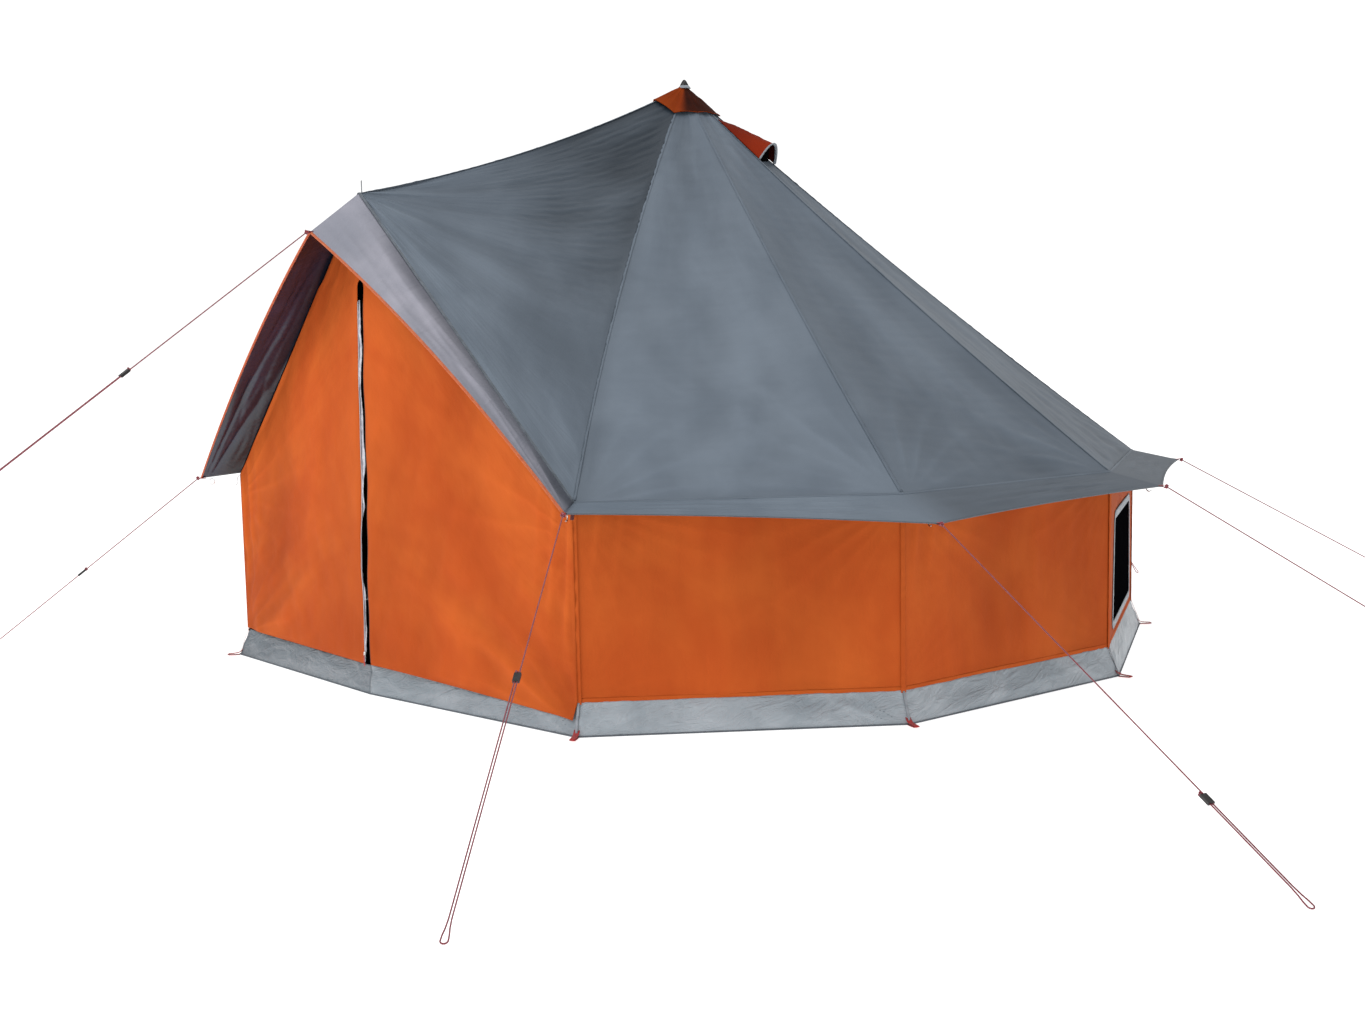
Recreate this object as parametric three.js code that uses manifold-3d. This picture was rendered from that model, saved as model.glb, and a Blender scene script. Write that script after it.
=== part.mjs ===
// Family tipi tent: a centre pole, a front pole, eleven roof gores, short upright walls, a zipped
// front, two awnings over it, and guy ropes with tensioners all round.
// Millimetres, +Z up, origin on the ground under the centre pole, the door faces -Y.

import * as THREE from "three";
import { mergeVertices } from "three/addons/utils/BufferGeometryUtils.js";
import Module from "manifold-3d";

const wasm = await Module();
wasm.setup();

// ---- driving dimensions ----
const SIDES = 11;                 // sides of the regular plan; two of its corners flank the door
const STEP = (2 * Math.PI) / SIDES;
const BASE_R = 2400;              // ground corners of the tub
const WALL_R = 2350;              // corners of the upright walls
const TUB_H = 135;
const WALL_H = 940;               // height of the seam between wall and roof
const APEX_Z = 2890;
const PEAK = new THREE.Vector3(0, -2060, 2240);         // top of the front pole, end of the ridge
const AWNING_TIP = new THREE.Vector3(0, -2318, 2063);
const EAVE_R = 2590;              // corners of the valance below the roof
const EAVE_Z = 885;
const SAGGING_EAVE = { r: 2640, z: 851 };               // the corner next to the front one hangs lower
const FRONT_EAVE = { x: 1390, y: -2133, z: 919 };
const CLOTH = 3;
const SEAM_GAP = 2.5;
const ROOF_GAP = 4;
const ROOF_HOLE_R = 48;           // open round the centre pole, below the cap

const FRONT_LEAN = 0.0252;        // how far the front wall comes forward per unit of height lost
const FRONT_SPLAY = 0.0911;       // how far it falls back per unit of width
const FRONT_CLEAR = 8;
const ZIP_TOP = 1866;
const DOOR_FOOT = { x: 1235, z: 142 };
const DOOR_ZIP_GAP = 6;
const FRONT_TRIM = { peak: 26, eave: 18 };              // how far the front wall stops below the roof
const SLIDER = { width: 13, depth: 7, height: 26, x: 10, z: 186, forward: 5 };
const PULL = { width: 8, depth: 2.5, length: 44, forward: 3, drop: 30 };

const WINDOW = { low: 195, high: 715, start: 175, end: 1175, taper: 60 };

const POLE_R = 16;
const POLE_SPLIT = 1420;
const SPIGOT = { r: 13, length: 60, clearance: 0.8 };
const FRONT_POLE = { r: 9.5, y: -2046, split: 1110, top: 2218, spikeR: 2.5, spikeTop: 2296 };

const ROPE = { r: 2.5, sides: 8, standOff: 14, pitch: 9, loopR: 11, tail: 26, groundZ: 3 };
const PORCH_ROPE = { heading: 0, run: 1428, endZ: 1100, grip: 0.6 };   // carried on by a far anchor
// Each corner's rope: heading in degrees from the door, or straight outwards when it is left out;
// run over the ground; grip is how far along the rope the tensioner sits.
const CORNER_ROPES = {
  1: { heading: 39, run: 1985, grip: 0.47 },
  2: { run: 2000, grip: 0.78 },
  3: { run: 1600, grip: 0.78 },
  4: { run: 1600, grip: 0.78 },
  5: { run: 700, grip: 0.6 },
  "-5": { run: 700, grip: 0.6 },
  "-4": { run: 700, grip: 0.6 },
  "-3": { run: 700, grip: 0.6 },
  "-2": { heading: -95, run: 400, grip: 0.6 },
  "-1": { heading: -35, run: 1180, grip: 0.5 },
};
const TENSIONER = { length: 44, width: 24, height: 11, holeR: 3.8 };

const TAB = { length: 65, width: 25, thick: 3 };

const AWNING = { steps: 6, seamGap: 0.03, bulge: 55, lift: 5 };
const CAP = { r: 220, ridgeR: 240, top: 20, lift: 11 };
const HOOD = { from: 236, to: 510, lift: 13, crown: 115, reach: 60 };

// ---- colours ----
const COLOURS = {
  orange: { color: 0xb5502a, roughness: 0.8, metalness: 0 },
  slate: { color: 0x5c6a76, roughness: 0.6, metalness: 0 },
  tarpaulin: { color: 0xa0aab2, roughness: 0.5, metalness: 0 },
  gauze: { color: 0x17171a, roughness: 0.9, metalness: 0 },
  steel: { color: 0xa8acb0, roughness: 0.35, metalness: 0.9 },
  rope: { color: 0xc83c46, roughness: 0.8, metalness: 0 },
  plastic: { color: 0x141414, roughness: 0.5, metalness: 0 },
};

const tent = new THREE.Group();

function addMesh(name, geometry, look) {
  const mesh = new THREE.Mesh(geometry, new THREE.MeshStandardMaterial(COLOURS[look]));
  mesh.name = name;
  tent.add(mesh);
  return mesh;
}

// ---- places on the tent ----
function polar(radius, angle, z) {
  return new THREE.Vector3(radius * Math.sin(angle), -radius * Math.cos(angle), z);
}

// Corners are counted from the door: 1 to 5 to the right, -1 to -5 to the left, 0 is the door itself.
const CORNERS = [1, 2, 3, 4, 5, -5, -4, -3, -2, -1];
const cornerAngle = (corner) => corner * STEP;
const wallTop = (corner) => polar(WALL_R, cornerAngle(corner), WALL_H);
const wallFoot = (corner) => polar(WALL_R, cornerAngle(corner), TUB_H);
const apex = new THREE.Vector3(0, 0, APEX_Z);

function eave(corner) {
  const rank = Math.abs(corner);
  if (rank === 1) return new THREE.Vector3(Math.sign(corner) * FRONT_EAVE.x, FRONT_EAVE.y, FRONT_EAVE.z);
  if (rank === 2) return polar(SAGGING_EAVE.r, cornerAngle(corner), SAGGING_EAVE.z);
  return polar(EAVE_R, cornerAngle(corner), EAVE_Z);
}

// A point on the roof's seam towards a corner, or on the ridge when the corner is 0.
function onSeam(corner, radius) {
  if (corner === 0) return apex.clone().lerp(PEAK, radius / -PEAK.y);
  return apex.clone().lerp(wallTop(corner), radius / WALL_R);
}

// A point on the plane of one half of the front wall; side is 1 on the right and -1 on the left.
function onFront(side, x, z) {
  const y = PEAK.y - (PEAK.z - z) * FRONT_LEAN - FRONT_CLEAR + x * FRONT_SPLAY;
  return new THREE.Vector3(side * x, y, z);
}

// ---- solids ----
function toSolid(geometry) {
  const bare = geometry.index ? geometry.clone() : geometry;
  bare.deleteAttribute("normal");
  bare.deleteAttribute("uv");
  const merged = mergeVertices(bare, 1e-4);
  return new wasm.Manifold(new wasm.Mesh({
    numProp: 3,
    vertProperties: new Float32Array(merged.attributes.position.array),
    triVerts: new Uint32Array(merged.index.array),
  }));
}

function toGeometry(solid) {
  const mesh = solid.getMesh();
  const geometry = new THREE.BufferGeometry();
  geometry.setAttribute("position", new THREE.BufferAttribute(mesh.vertProperties, 3));
  geometry.setIndex(new THREE.BufferAttribute(mesh.triVerts, 1));
  return geometry;
}

// Moves every edge of a flat counter-clockwise outline inwards by the gap.
function insetOutline(points, gap) {
  const count = points.length;
  const lines = points.map((point, i) => {
    const along = points[(i + 1) % count].clone().sub(point).normalize();
    const inward = new THREE.Vector2(-along.y, along.x);
    return { start: point.clone().addScaledVector(inward, gap), along };
  });
  return lines.map((line, i) => {
    const before = lines[(i + count - 1) % count];
    const cross = before.along.cross(line.along);
    const t = line.start.clone().sub(before.start).cross(line.along) / cross;
    return before.start.clone().addScaledVector(before.along, t);
  });
}

// A flat panel of cloth with the given corners on its outer face.
// outside is any point on the outer side; holes are corner lists in the same plane.
function panel(corners, outside, gap, thick = CLOTH, holes = []) {
  const origin = corners[0];
  const across = corners[1].clone().sub(origin).normalize();
  const normal = across.clone().cross(corners[2].clone().sub(origin)).normalize();
  if (normal.dot(outside.clone().sub(origin)) > 0) normal.negate();
  const up = normal.clone().cross(across);
  const flatten = (point) => {
    const from = point.clone().sub(origin);
    return new THREE.Vector2(from.dot(across), from.dot(up));
  };
  const outline = corners.map(flatten);
  if (THREE.ShapeUtils.area(outline) < 0) outline.reverse();
  const shape = new THREE.Shape(insetOutline(outline, gap));
  shape.holes = holes.map((hole) => new THREE.Path(hole.map(flatten)));
  const geometry = new THREE.ExtrudeGeometry(shape, { depth: thick, bevelEnabled: false });
  geometry.applyMatrix4(new THREE.Matrix4().makeBasis(across, up, normal).setPosition(origin));
  return geometry;
}

// A bent sheet through a grid of points on its outer face, thickened away from the outside.
// inward(point, i, j) gives the direction to the inner face; a ring closes on its first row.
function sheet(grid, inward, ring = false, thick = CLOTH) {
  const rows = grid.length;
  const columns = grid[0].length;
  const position = [];
  const index = [];
  for (const side of [0, 1]) {
    grid.forEach((row, i) => row.forEach((point, j) => {
      const shift = inward(point, i, j).clone().normalize().multiplyScalar(side * thick);
      position.push(...point.clone().add(shift).toArray());
    }));
  }
  const at = (side, i, j) => side * rows * columns + (i % rows) * columns + j;
  const quad = (a, b, c, d) => index.push(a, b, c, a, c, d);
  const spans = ring ? rows : rows - 1;
  for (let i = 0; i < spans; i++) {
    for (let j = 0; j < columns - 1; j++) {
      quad(at(0, i, j), at(0, i + 1, j), at(0, i + 1, j + 1), at(0, i, j + 1));
      quad(at(1, i, j), at(1, i, j + 1), at(1, i + 1, j + 1), at(1, i + 1, j));
    }
    quad(at(0, i, 0), at(1, i, 0), at(1, i + 1, 0), at(0, i + 1, 0));
    const last = columns - 1;
    quad(at(0, i, last), at(0, i + 1, last), at(1, i + 1, last), at(1, i, last));
  }
  for (let j = 0; j < columns - 1 && !ring; j++) {
    const end = rows - 1;
    quad(at(0, 0, j), at(0, 0, j + 1), at(1, 0, j + 1), at(1, 0, j));
    quad(at(0, end, j), at(1, end, j), at(1, end, j + 1), at(0, end, j + 1));
  }
  const geometry = new THREE.BufferGeometry();
  geometry.setAttribute("position", new THREE.BufferAttribute(new Float32Array(position), 3));
  geometry.setIndex(index);
  if (signedVolume(geometry) < 0) {
    for (let k = 0; k < index.length; k += 3) [index[k], index[k + 1]] = [index[k + 1], index[k]];
    geometry.setIndex(index);
  }
  return geometry;
}

function signedVolume(geometry) {
  const position = geometry.attributes.position;
  const corner = (k) => new THREE.Vector3().fromBufferAttribute(position, geometry.index.getX(k));
  let volume = 0;
  for (let k = 0; k < geometry.index.count; k += 3) {
    volume += corner(k).dot(corner(k + 1).cross(corner(k + 2))) / 6;
  }
  return volume;
}

const downwards = () => new THREE.Vector3(0, 0, -1);

// ---- floor and tub ----
function tubRing(corner) {
  if (corner !== 0) return [polar(BASE_R, cornerAngle(corner), 0), wallFoot(corner)];
  return [new THREE.Vector3(0, -2110, 0), new THREE.Vector3(0, -2100, TUB_H)];
}

function pegTab(corner) {
  const root = 1.5;
  const box = new THREE.BoxGeometry(TAB.width, TAB.length + root, TAB.thick);
  box.translate(0, -(BASE_R + (TAB.length - root) / 2), TAB.thick / 2);
  box.rotateZ(cornerAngle(corner));
  return box;
}

function makeFloor() {
  const inside = BASE_R - 9;
  const outline = [0, ...CORNERS].map((corner) =>
    corner === 0 ? new THREE.Vector3(0, -2100, 0) : polar(inside, cornerAngle(corner), 0));
  addMesh("groundsheet", panel(outline, new THREE.Vector3(0, 0, -1), 0), "tarpaulin");
  const ring = sheet([0, ...CORNERS].map(tubRing), (point) => new THREE.Vector3(-point.x, -point.y, 0), true);
  const tub = CORNERS.map(pegTab).reduce((solid, tab) => solid.add(toSolid(tab)), toSolid(ring));
  addMesh("tub_skirt", toGeometry(tub), "tarpaulin");
}

// ---- upright walls ----
function alongWall(from, to, distance, z) {
  const start = wallFoot(from);
  const toward = wallFoot(to).sub(start).normalize();
  return start.addScaledVector(toward, distance).setZ(z);
}

function windowOutline(from, to) {
  const { low, high, start, end, taper } = WINDOW;
  return [
    alongWall(from, to, start, low),
    alongWall(from, to, end, low),
    alongWall(from, to, end - taper, high),
    alongWall(from, to, start + taper, high),
  ];
}

function makeWall(name, from, to, window = false) {
  const corners = [wallFoot(from), wallFoot(to), wallTop(to), wallTop(from)];
  const outside = polar(2 * BASE_R, (cornerAngle(from) + cornerAngle(to)) / 2, WALL_H / 2);
  const hole = windowOutline(from, to);
  addMesh(name, panel(corners, outside, SEAM_GAP, CLOTH, window ? [hole] : []), "orange");
  if (window) {
    addMesh(name.replace("wall", "window_mesh"), panel(hole, outside, 1), "gauze");
  }
}

function makeWalls() {
  for (const [side, sign] of [["right", 1], ["left", -1]]) {
    for (let corner = 1; corner < 5; corner++) {
      makeWall(`wall_${side}_${corner}`, sign * corner, sign * (corner + 1), corner === 3);
    }
  }
  const back = [wallFoot(5), wallFoot(-5), wallTop(-5), wallTop(5)];
  addMesh("wall_back", panel(back, polar(2 * BASE_R, Math.PI, 0), SEAM_GAP), "orange");
}

// ---- front wall and its doors ----
function makeFront(side, word) {
  const outside = new THREE.Vector3(0, -2 * BASE_R, 0);
  const corner = wallTop(1);
  const fixed = [
    onFront(side, 0, PEAK.z - FRONT_TRIM.peak),
    onFront(side, 0, ZIP_TOP),
    onFront(side, DOOR_FOOT.x, DOOR_FOOT.z),
    onFront(side, corner.x, DOOR_FOOT.z),
    onFront(side, corner.x, corner.z - FRONT_TRIM.eave),
  ];
  addMesh(`front_wall_${word}`, panel(fixed, outside, SEAM_GAP), "orange");
  const slope = (ZIP_TOP - DOOR_FOOT.z) / DOOR_FOOT.x;
  const zipEdge = side > 0 ? DOOR_ZIP_GAP : 0;
  const door = [
    onFront(side, zipEdge, ZIP_TOP - slope * zipEdge),
    onFront(side, zipEdge, DOOR_FOOT.z),
    onFront(side, DOOR_FOOT.x, DOOR_FOOT.z),
  ];
  addMesh(`door_${word}`, panel(door, outside, SEAM_GAP), "orange");
}

// The slider stands in front of the zip's edge of the left door, its pull hanging from it.
function makeZipSlider() {
  const body = new THREE.BoxGeometry(SLIDER.width, SLIDER.depth, SLIDER.height);
  const pull = new THREE.BoxGeometry(PULL.width, PULL.depth, PULL.length);
  pull.translate(0, -PULL.forward, -PULL.drop);
  const geometry = toGeometry(toSolid(body).add(toSolid(pull)));
  const place = onFront(-1, SLIDER.x, SLIDER.z);
  geometry.rotateX(-FRONT_LEAN);
  geometry.translate(place.x, place.y - SLIDER.forward, place.z);
  addMesh("zip_slider", geometry, "plastic");
}

// ---- roof ----
function gore(from, to, lowFrom, lowTo) {
  const corners = [onSeam(from, ROOF_HOLE_R), lowFrom, lowTo, onSeam(to, ROOF_HOLE_R)];
  return panel(corners, new THREE.Vector3(0, 0, 4 * APEX_Z), ROOF_GAP);
}

// The front gores leave a hole in the ridge for the front pole's spike.
function frontGore(side) {
  const { y, spikeR, spikeTop } = FRONT_POLE;
  const hole = new THREE.CylinderGeometry(2 * spikeR, 2 * spikeR, 200, 12).rotateX(Math.PI / 2);
  hole.translate(0, y, spikeTop);
  return toGeometry(toSolid(gore(0, side, PEAK, wallTop(side))).subtract(toSolid(hole)));
}

function makeRoof() {
  for (const [side, sign] of [["right", 1], ["left", -1]]) {
    addMesh(`roof_gore_front_${side}`, frontGore(sign), "slate");
    for (let corner = 1; corner < 5; corner++) {
      const [from, to] = [sign * corner, sign * (corner + 1)];
      addMesh(`roof_gore_${side}_${corner}`, gore(from, to, wallTop(from), wallTop(to)), "slate");
    }
  }
  addMesh("roof_gore_back", gore(5, -5, wallTop(5), wallTop(-5)), "slate");
}

// The valance runs round the tent below the roof, from one side of the door to the other.
function makeValance() {
  const start = WALL_R + ROOF_GAP + 1;
  const rows = CORNERS.map((corner) => [polar(start, cornerAngle(corner), WALL_H), eave(corner)]);
  addMesh("eave_valance", sheet(rows, downwards), "slate");
}

function makeAwning(side, word) {
  const { steps, seamGap, bulge, lift } = AWNING;
  const grid = [];
  const foot = wallTop(side);
  for (let i = 0; i <= steps; i++) {
    const down = i / steps;
    const seam = PEAK.clone().lerp(foot, down);
    const edge = AWNING_TIP.clone().lerp(eave(side), down);
    edge.z += bulge * 4 * down * (1 - down);
    const row = [0, 0.5, 1].map((out) => seam.clone().lerp(edge, seamGap + (1 - seamGap) * out));
    grid.push(row);
  }
  for (const point of grid[0]) point.x += side * ROOF_GAP;
  // the lowest row stands clear of the roof and the valance
  for (const point of grid[steps]) point.addScaledVector(new THREE.Vector3(-side, 0, 1.05), lift);
  addMesh(`awning_${word}`, sheet(grid, downwards), "slate");
}

// ---- cap and vent hood ----
function makeCap() {
  const raise = (point) => point.setZ(point.z + CAP.lift);
  const rows = [0, ...CORNERS].map((corner) =>
    [CAP.top, corner === 0 ? CAP.ridgeR : CAP.r].map((radius) => raise(onSeam(corner, radius))));
  addMesh("roof_cap", sheet(rows, downwards, true), "orange");
}

function makeHood(from, to) {
  const rows = 4;
  const grid = [];
  for (let i = 0; i < rows; i++) {
    const down = i / (rows - 1);
    const radius = HOOD.from + down * (HOOD.to - HOOD.from);
    const [left, right] = [onSeam(from, radius), onSeam(to, radius)];
    const middle = left.clone().lerp(right, 0.5);
    const outward = middle.clone().setZ(0).normalize();
    middle.z += HOOD.crown * down;
    middle.addScaledVector(outward, HOOD.reach * down);
    grid.push([left, middle, right].map((point) => point.setZ(point.z + HOOD.lift)));
  }
  addMesh("vent_hood", sheet(grid, downwards), "orange");
}

// ---- poles ----
function turned(profile, segments = 16) {
  const outline = profile.map(([r, z]) => new THREE.Vector2(r, z));
  return new THREE.LatheGeometry(outline, segments).rotateX(Math.PI / 2);
}

// One pole in two sections, the upper one plugged into the lower by a spigot.
function makePole(name, radius, foot, split, topProfile, y) {
  const bore = SPIGOT.r * (radius / POLE_R);
  const depth = SPIGOT.length + 2;
  const lower = [
    [0, foot], [radius * 1.4, foot], [radius * 1.4, foot + 12], [radius, foot + 18],
    [radius, split], [bore, split], [bore, split - depth], [0, split - depth],
  ];
  const spigot = bore - SPIGOT.clearance;
  const seat = split + 0.4;
  const upper = [
    [0, split - SPIGOT.length], [spigot, split - SPIGOT.length], [spigot, seat], [radius, seat],
    ...topProfile,
  ];
  addMesh(`${name}_lower`, turned(lower).translate(0, y, 0), "steel");
  addMesh(`${name}_upper`, turned(upper).translate(0, y, 0), "steel");
}

function makePoles() {
  const foot = CLOTH + 0.4;
  const shoulder = APEX_Z - 30;
  makePole("centre_pole", POLE_R, foot, POLE_SPLIT, [
    [POLE_R, shoulder], [11, shoulder + 14], [11, APEX_Z + 10], [4, APEX_Z + 32], [0, APEX_Z + 32],
  ], 0);
  const { r, y, split, top, spikeR, spikeTop } = FRONT_POLE;
  makePole("front_pole", r, foot, split, [
    [r, top - 6], [spikeR, top], [spikeR, spikeTop], [0, spikeTop],
  ], y);
}

// ---- guy ropes ----
// A route is given by its points; its cross-sections stand exactly on them.
class Route extends THREE.Curve {
  constructor(points) {
    super();
    this.points = points;
  }

  getPoint(t, target = new THREE.Vector3()) {
    const place = Math.min(t, 1) * (this.points.length - 1);
    const i = Math.min(Math.floor(place), this.points.length - 2);
    return target.copy(this.points[i]).lerp(this.points[i + 1], place - i);
  }

  getPointAt(u, target) {
    return this.getPoint(u, target);
  }

  getTangentAt(u, target = new THREE.Vector3()) {
    const last = this.points.length - 1;
    const i = Math.round(u * last);
    const [before, after] = [this.points[Math.max(i - 1, 0)], this.points[Math.min(i + 1, last)]];
    return target.copy(after).sub(before).normalize();
  }
}

function tube(points, radius, sides) {
  const section = new THREE.Shape();
  for (let k = 0; k < sides; k++) {
    const angle = (2 * Math.PI * k) / sides;
    const [x, y] = [radius * Math.cos(angle), radius * Math.sin(angle)];
    if (k) section.lineTo(x, y);
    else section.moveTo(x, y);
  }
  return new THREE.ExtrudeGeometry(section, { steps: points.length - 1, extrudePath: new Route(points) });
}

// The rope runs straight from the tent through its tensioner to its anchor, turns back round it, and
// ends in the tensioner.
function ropeFrame({ start, heading, run, grip, endZ = ROPE.groundZ }) {
  const outward = polar(1, heading, 0);
  const from = start.clone().addScaledVector(outward, ROPE.standOff);
  const ground = from.clone().addScaledVector(outward, run).setZ(endZ);
  const along = ground.clone().sub(from);
  const length = along.length();
  along.normalize();
  const sideways = new THREE.Vector3(0, 0, 1).cross(outward);
  return { from, along, sideways, length, gripAt: length * grip };
}

function ropeRoute(frame) {
  const { from, along, sideways, length, gripAt } = frame;
  const place = (t, across) =>
    from.clone().addScaledVector(along, t).addScaledVector(sideways, across - ROPE.pitch / 2);
  const half = ROPE.pitch / 2;
  const neck = [[length - 90, half], [length - 55, half + 2], [length - 30, half + 5.5]];
  const out = [[0, half], [gripAt, half], ...neck];
  const turns = 8;
  for (let k = 0; k <= turns; k++) {
    const angle = Math.PI * (k / turns - 0.5);
    out.push([length - ROPE.loopR + ROPE.loopR * Math.cos(angle), -ROPE.loopR * Math.sin(angle)]);
  }
  const back = [...neck].reverse().map(([t, across]) => [t, -across]);
  return [...out, ...back, [gripAt - ROPE.tail, -half]].map(([t, across]) => place(t, across));
}

function makeTensioner(name, frame) {
  const { length, width, height, holeR } = TENSIONER;
  const ends = 2;
  const hole = () => new THREE.CylinderGeometry(holeR, holeR, length + ends, 10).rotateX(Math.PI / 2);
  let body = toSolid(new THREE.BoxGeometry(width, height, length));
  for (const sign of [1, -1]) {
    body = body.subtract(toSolid(hole().translate((sign * ROPE.pitch) / 2, 0, 0)));
  }
  const geometry = toGeometry(body);
  const normal = frame.along.clone().cross(frame.sideways);
  const centre = frame.from.clone().addScaledVector(frame.along, frame.gripAt)
    .addScaledVector(frame.sideways, -ROPE.pitch / 2);
  const basis = new THREE.Matrix4().makeBasis(frame.sideways, normal, frame.along);
  geometry.applyMatrix4(basis.setPosition(centre));
  addMesh(name, geometry, "plastic");
}

function makeGuy(name, guy) {
  const frame = ropeFrame(guy);
  addMesh(`guy_rope_${name}`, tube(ropeRoute(frame), ROPE.r, ROPE.sides), "rope");
  makeTensioner(`tensioner_${name}`, frame);
}

function cornerGuy(corner) {
  const { heading, run, grip } = CORNER_ROPES[corner];
  const angle = heading === undefined ? cornerAngle(corner) : THREE.MathUtils.degToRad(heading);
  return { start: eave(corner), heading: angle, run, grip };
}

function makeGuys() {
  makeGuy("porch", { start: AWNING_TIP, ...PORCH_ROPE });
  for (const corner of CORNERS) {
    makeGuy(`${corner > 0 ? "right" : "left"}_${Math.abs(corner)}`, cornerGuy(corner));
  }
}

makeFloor();
makeWalls();
makeFront(1, "right");
makeFront(-1, "left");
makeZipSlider();
makeRoof();
makeValance();
makeAwning(1, "right");
makeAwning(-1, "left");
makeCap();
makeHood(3, 4);
makePoles();
makeGuys();

export default tent;
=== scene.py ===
"""Family tipi tent: cloth, seams, webbing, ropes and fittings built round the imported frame.

Metres, +Z up, origin on the ground under the centre pole, the door faces -Y.
"""

import math

import bmesh
import bpy
import numpy as np
from mathutils import Matrix, Vector


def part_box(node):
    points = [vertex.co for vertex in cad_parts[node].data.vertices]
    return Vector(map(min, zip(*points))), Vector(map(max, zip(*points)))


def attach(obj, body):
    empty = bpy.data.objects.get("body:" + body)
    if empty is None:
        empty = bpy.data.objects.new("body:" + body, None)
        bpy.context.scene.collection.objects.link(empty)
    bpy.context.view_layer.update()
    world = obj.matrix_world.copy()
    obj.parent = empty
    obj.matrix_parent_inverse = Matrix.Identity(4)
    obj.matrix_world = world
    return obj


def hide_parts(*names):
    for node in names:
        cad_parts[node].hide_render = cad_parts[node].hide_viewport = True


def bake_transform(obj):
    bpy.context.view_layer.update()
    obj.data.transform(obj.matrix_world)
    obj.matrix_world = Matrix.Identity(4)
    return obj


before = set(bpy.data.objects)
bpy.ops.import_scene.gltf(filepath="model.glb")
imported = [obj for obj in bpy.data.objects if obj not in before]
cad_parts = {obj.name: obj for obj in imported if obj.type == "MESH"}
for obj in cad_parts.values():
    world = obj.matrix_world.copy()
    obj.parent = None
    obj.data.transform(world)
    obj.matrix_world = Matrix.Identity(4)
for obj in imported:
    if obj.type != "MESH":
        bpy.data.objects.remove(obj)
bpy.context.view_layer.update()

# ---- driving dimensions, as in the frame ----
SIDES = 11
STEP = 2 * math.pi / SIDES
BASE_R = 2.400
WALL_R = 2.350
TUB_H = 0.135
WALL_H = 0.940
APEX = np.array([0, 0, 2.890])
PEAK = np.array([0, -2.060, 2.240])
AWNING_TIP = np.array([0, -2.318, 2.063])
EAVE_R = 2.590
EAVE_Z = 0.885
SAGGING_EAVE = (2.640, 0.851)
FRONT_EAVE = (1.390, -2.133, 0.919)
FRONT_LEAN = 0.0252
FRONT_SPLAY = 0.0911
FRONT_CLEAR = 0.008
ZIP_TOP = 1.866
DOOR_FOOT = (1.235, 0.142)
WINDOW_LOW, WINDOW_HIGH = 0.195, 0.715
WINDOW_START, WINDOW_END, WINDOW_TAPER = 0.175, 1.175, 0.060
CORNERS = [1, 2, 3, 4, 5, -5, -4, -3, -2, -1]

RIDGE_SAG = 0.060
SEAM_SAG = 0.040
FRONT_SEAM_SWAY = 0.060       # the seam to each front corner is pulled towards the door
GORE_SAG = 0.030              # a gore's middle hangs this much below its two seams
GORE_START = 0.020            # the gores begin this share of the way down from the apex
HOOD_START, HOOD_END = 0.215, 0.470   # the vent hood's reach, as distances from the centre pole
VALANCE_WIDTH = 0.26
AWNING_WIDTH = 0.30
STORM_STRIP_WIDTH = 0.045
ROOF_SEAM_WIDTH, VALANCE_SEAM_WIDTH, GABLE_SEAM_WIDTH = 0.016, 0.012, 0.013
WALL_SEAM_WIDTH, WALL_HEM_WIDTH, TUB_SEAM_WIDTH = 0.024, 0.018, 0.010
WINDOW_BINDING_WIDTH = 0.036
WINDOW_ROUNDING = 0.045
CLOTH = 0.0016
THIN_CLOTH = 0.0008
# painted shade in folds: their hollows are painted darker and their crests lighter
HOLLOW_SHADE = 22.0           # how much the shade changes with a fold's height, per metre
RELIEF_STEP = 0.015           # spacing of a sheet's vertices

ROPE_R = 0.0025
ROPE_STAND_OFF = 0.014
ROPE_PITCH = 0.009
ROPE_LOOP_R = 0.011
ROPE_TAIL = 0.026
ROPE_GROUND_Z = 0.003


# ---- places on the tent ----
def polar(radius, angle, z):
    return np.array([radius * math.sin(angle), -radius * math.cos(angle), z])


def outward_at(corner):
    """The level direction away from the centre pole; corner may lie between two corners."""
    return polar(1, corner * STEP, 0)


def sideways_at(corner):
    """The level direction across that one, to the right as seen from outside."""
    return np.array([math.cos(corner * STEP), math.sin(corner * STEP), 0])


def facing(from_corner, to_corner):
    """The level direction that the side between two neighbouring corners faces."""
    middle = (from_corner + to_corner) / 2 if from_corner * to_corner > 0 else SIDES / 2
    return outward_at(middle)


def name_of(corner):
    """Corners are counted from the door: 1 to 5 to the right, -1 to -5 to the left."""
    return f"{'right' if corner > 0 else 'left'}_{abs(corner)}"


def wall_top(corner):
    return polar(WALL_R, corner * STEP, WALL_H)


def wall_foot(corner):
    return polar(WALL_R, corner * STEP, TUB_H)


def eave(corner):
    """The valance's lower corner, where a guy rope is tied."""
    rank = abs(corner)
    if rank == 1:
        return np.array([math.copysign(FRONT_EAVE[0], corner), FRONT_EAVE[1], FRONT_EAVE[2]])
    if rank == 2:
        return polar(SAGGING_EAVE[0], corner * STEP, SAGGING_EAVE[1])
    return polar(EAVE_R, corner * STEP, EAVE_Z)


def seam_end(corner):
    """Where a roof seam ends: the ridge, counted as corner 0, at the front pole, the others on the walls."""
    return PEAK if corner == 0 else wall_top(corner)


def on_seam(corner, share):
    """Points on the roof seam to a corner, sagging between its ends; share is 0 at the apex."""
    share = np.asarray(share, float)[..., None]
    point = APEX * (1 - share) + seam_end(corner) * share
    belly = 4 * share * (1 - share)
    drop = RIDGE_SAG if corner == 0 else SEAM_SAG
    point = point - belly * np.array([0, 0, drop])
    if abs(corner) == 1:
        towards_door = polar(1, corner * STEP - math.copysign(math.pi / 2, corner), 0)
        point = point + belly * FRONT_SEAM_SWAY * towards_door
    return point


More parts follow.
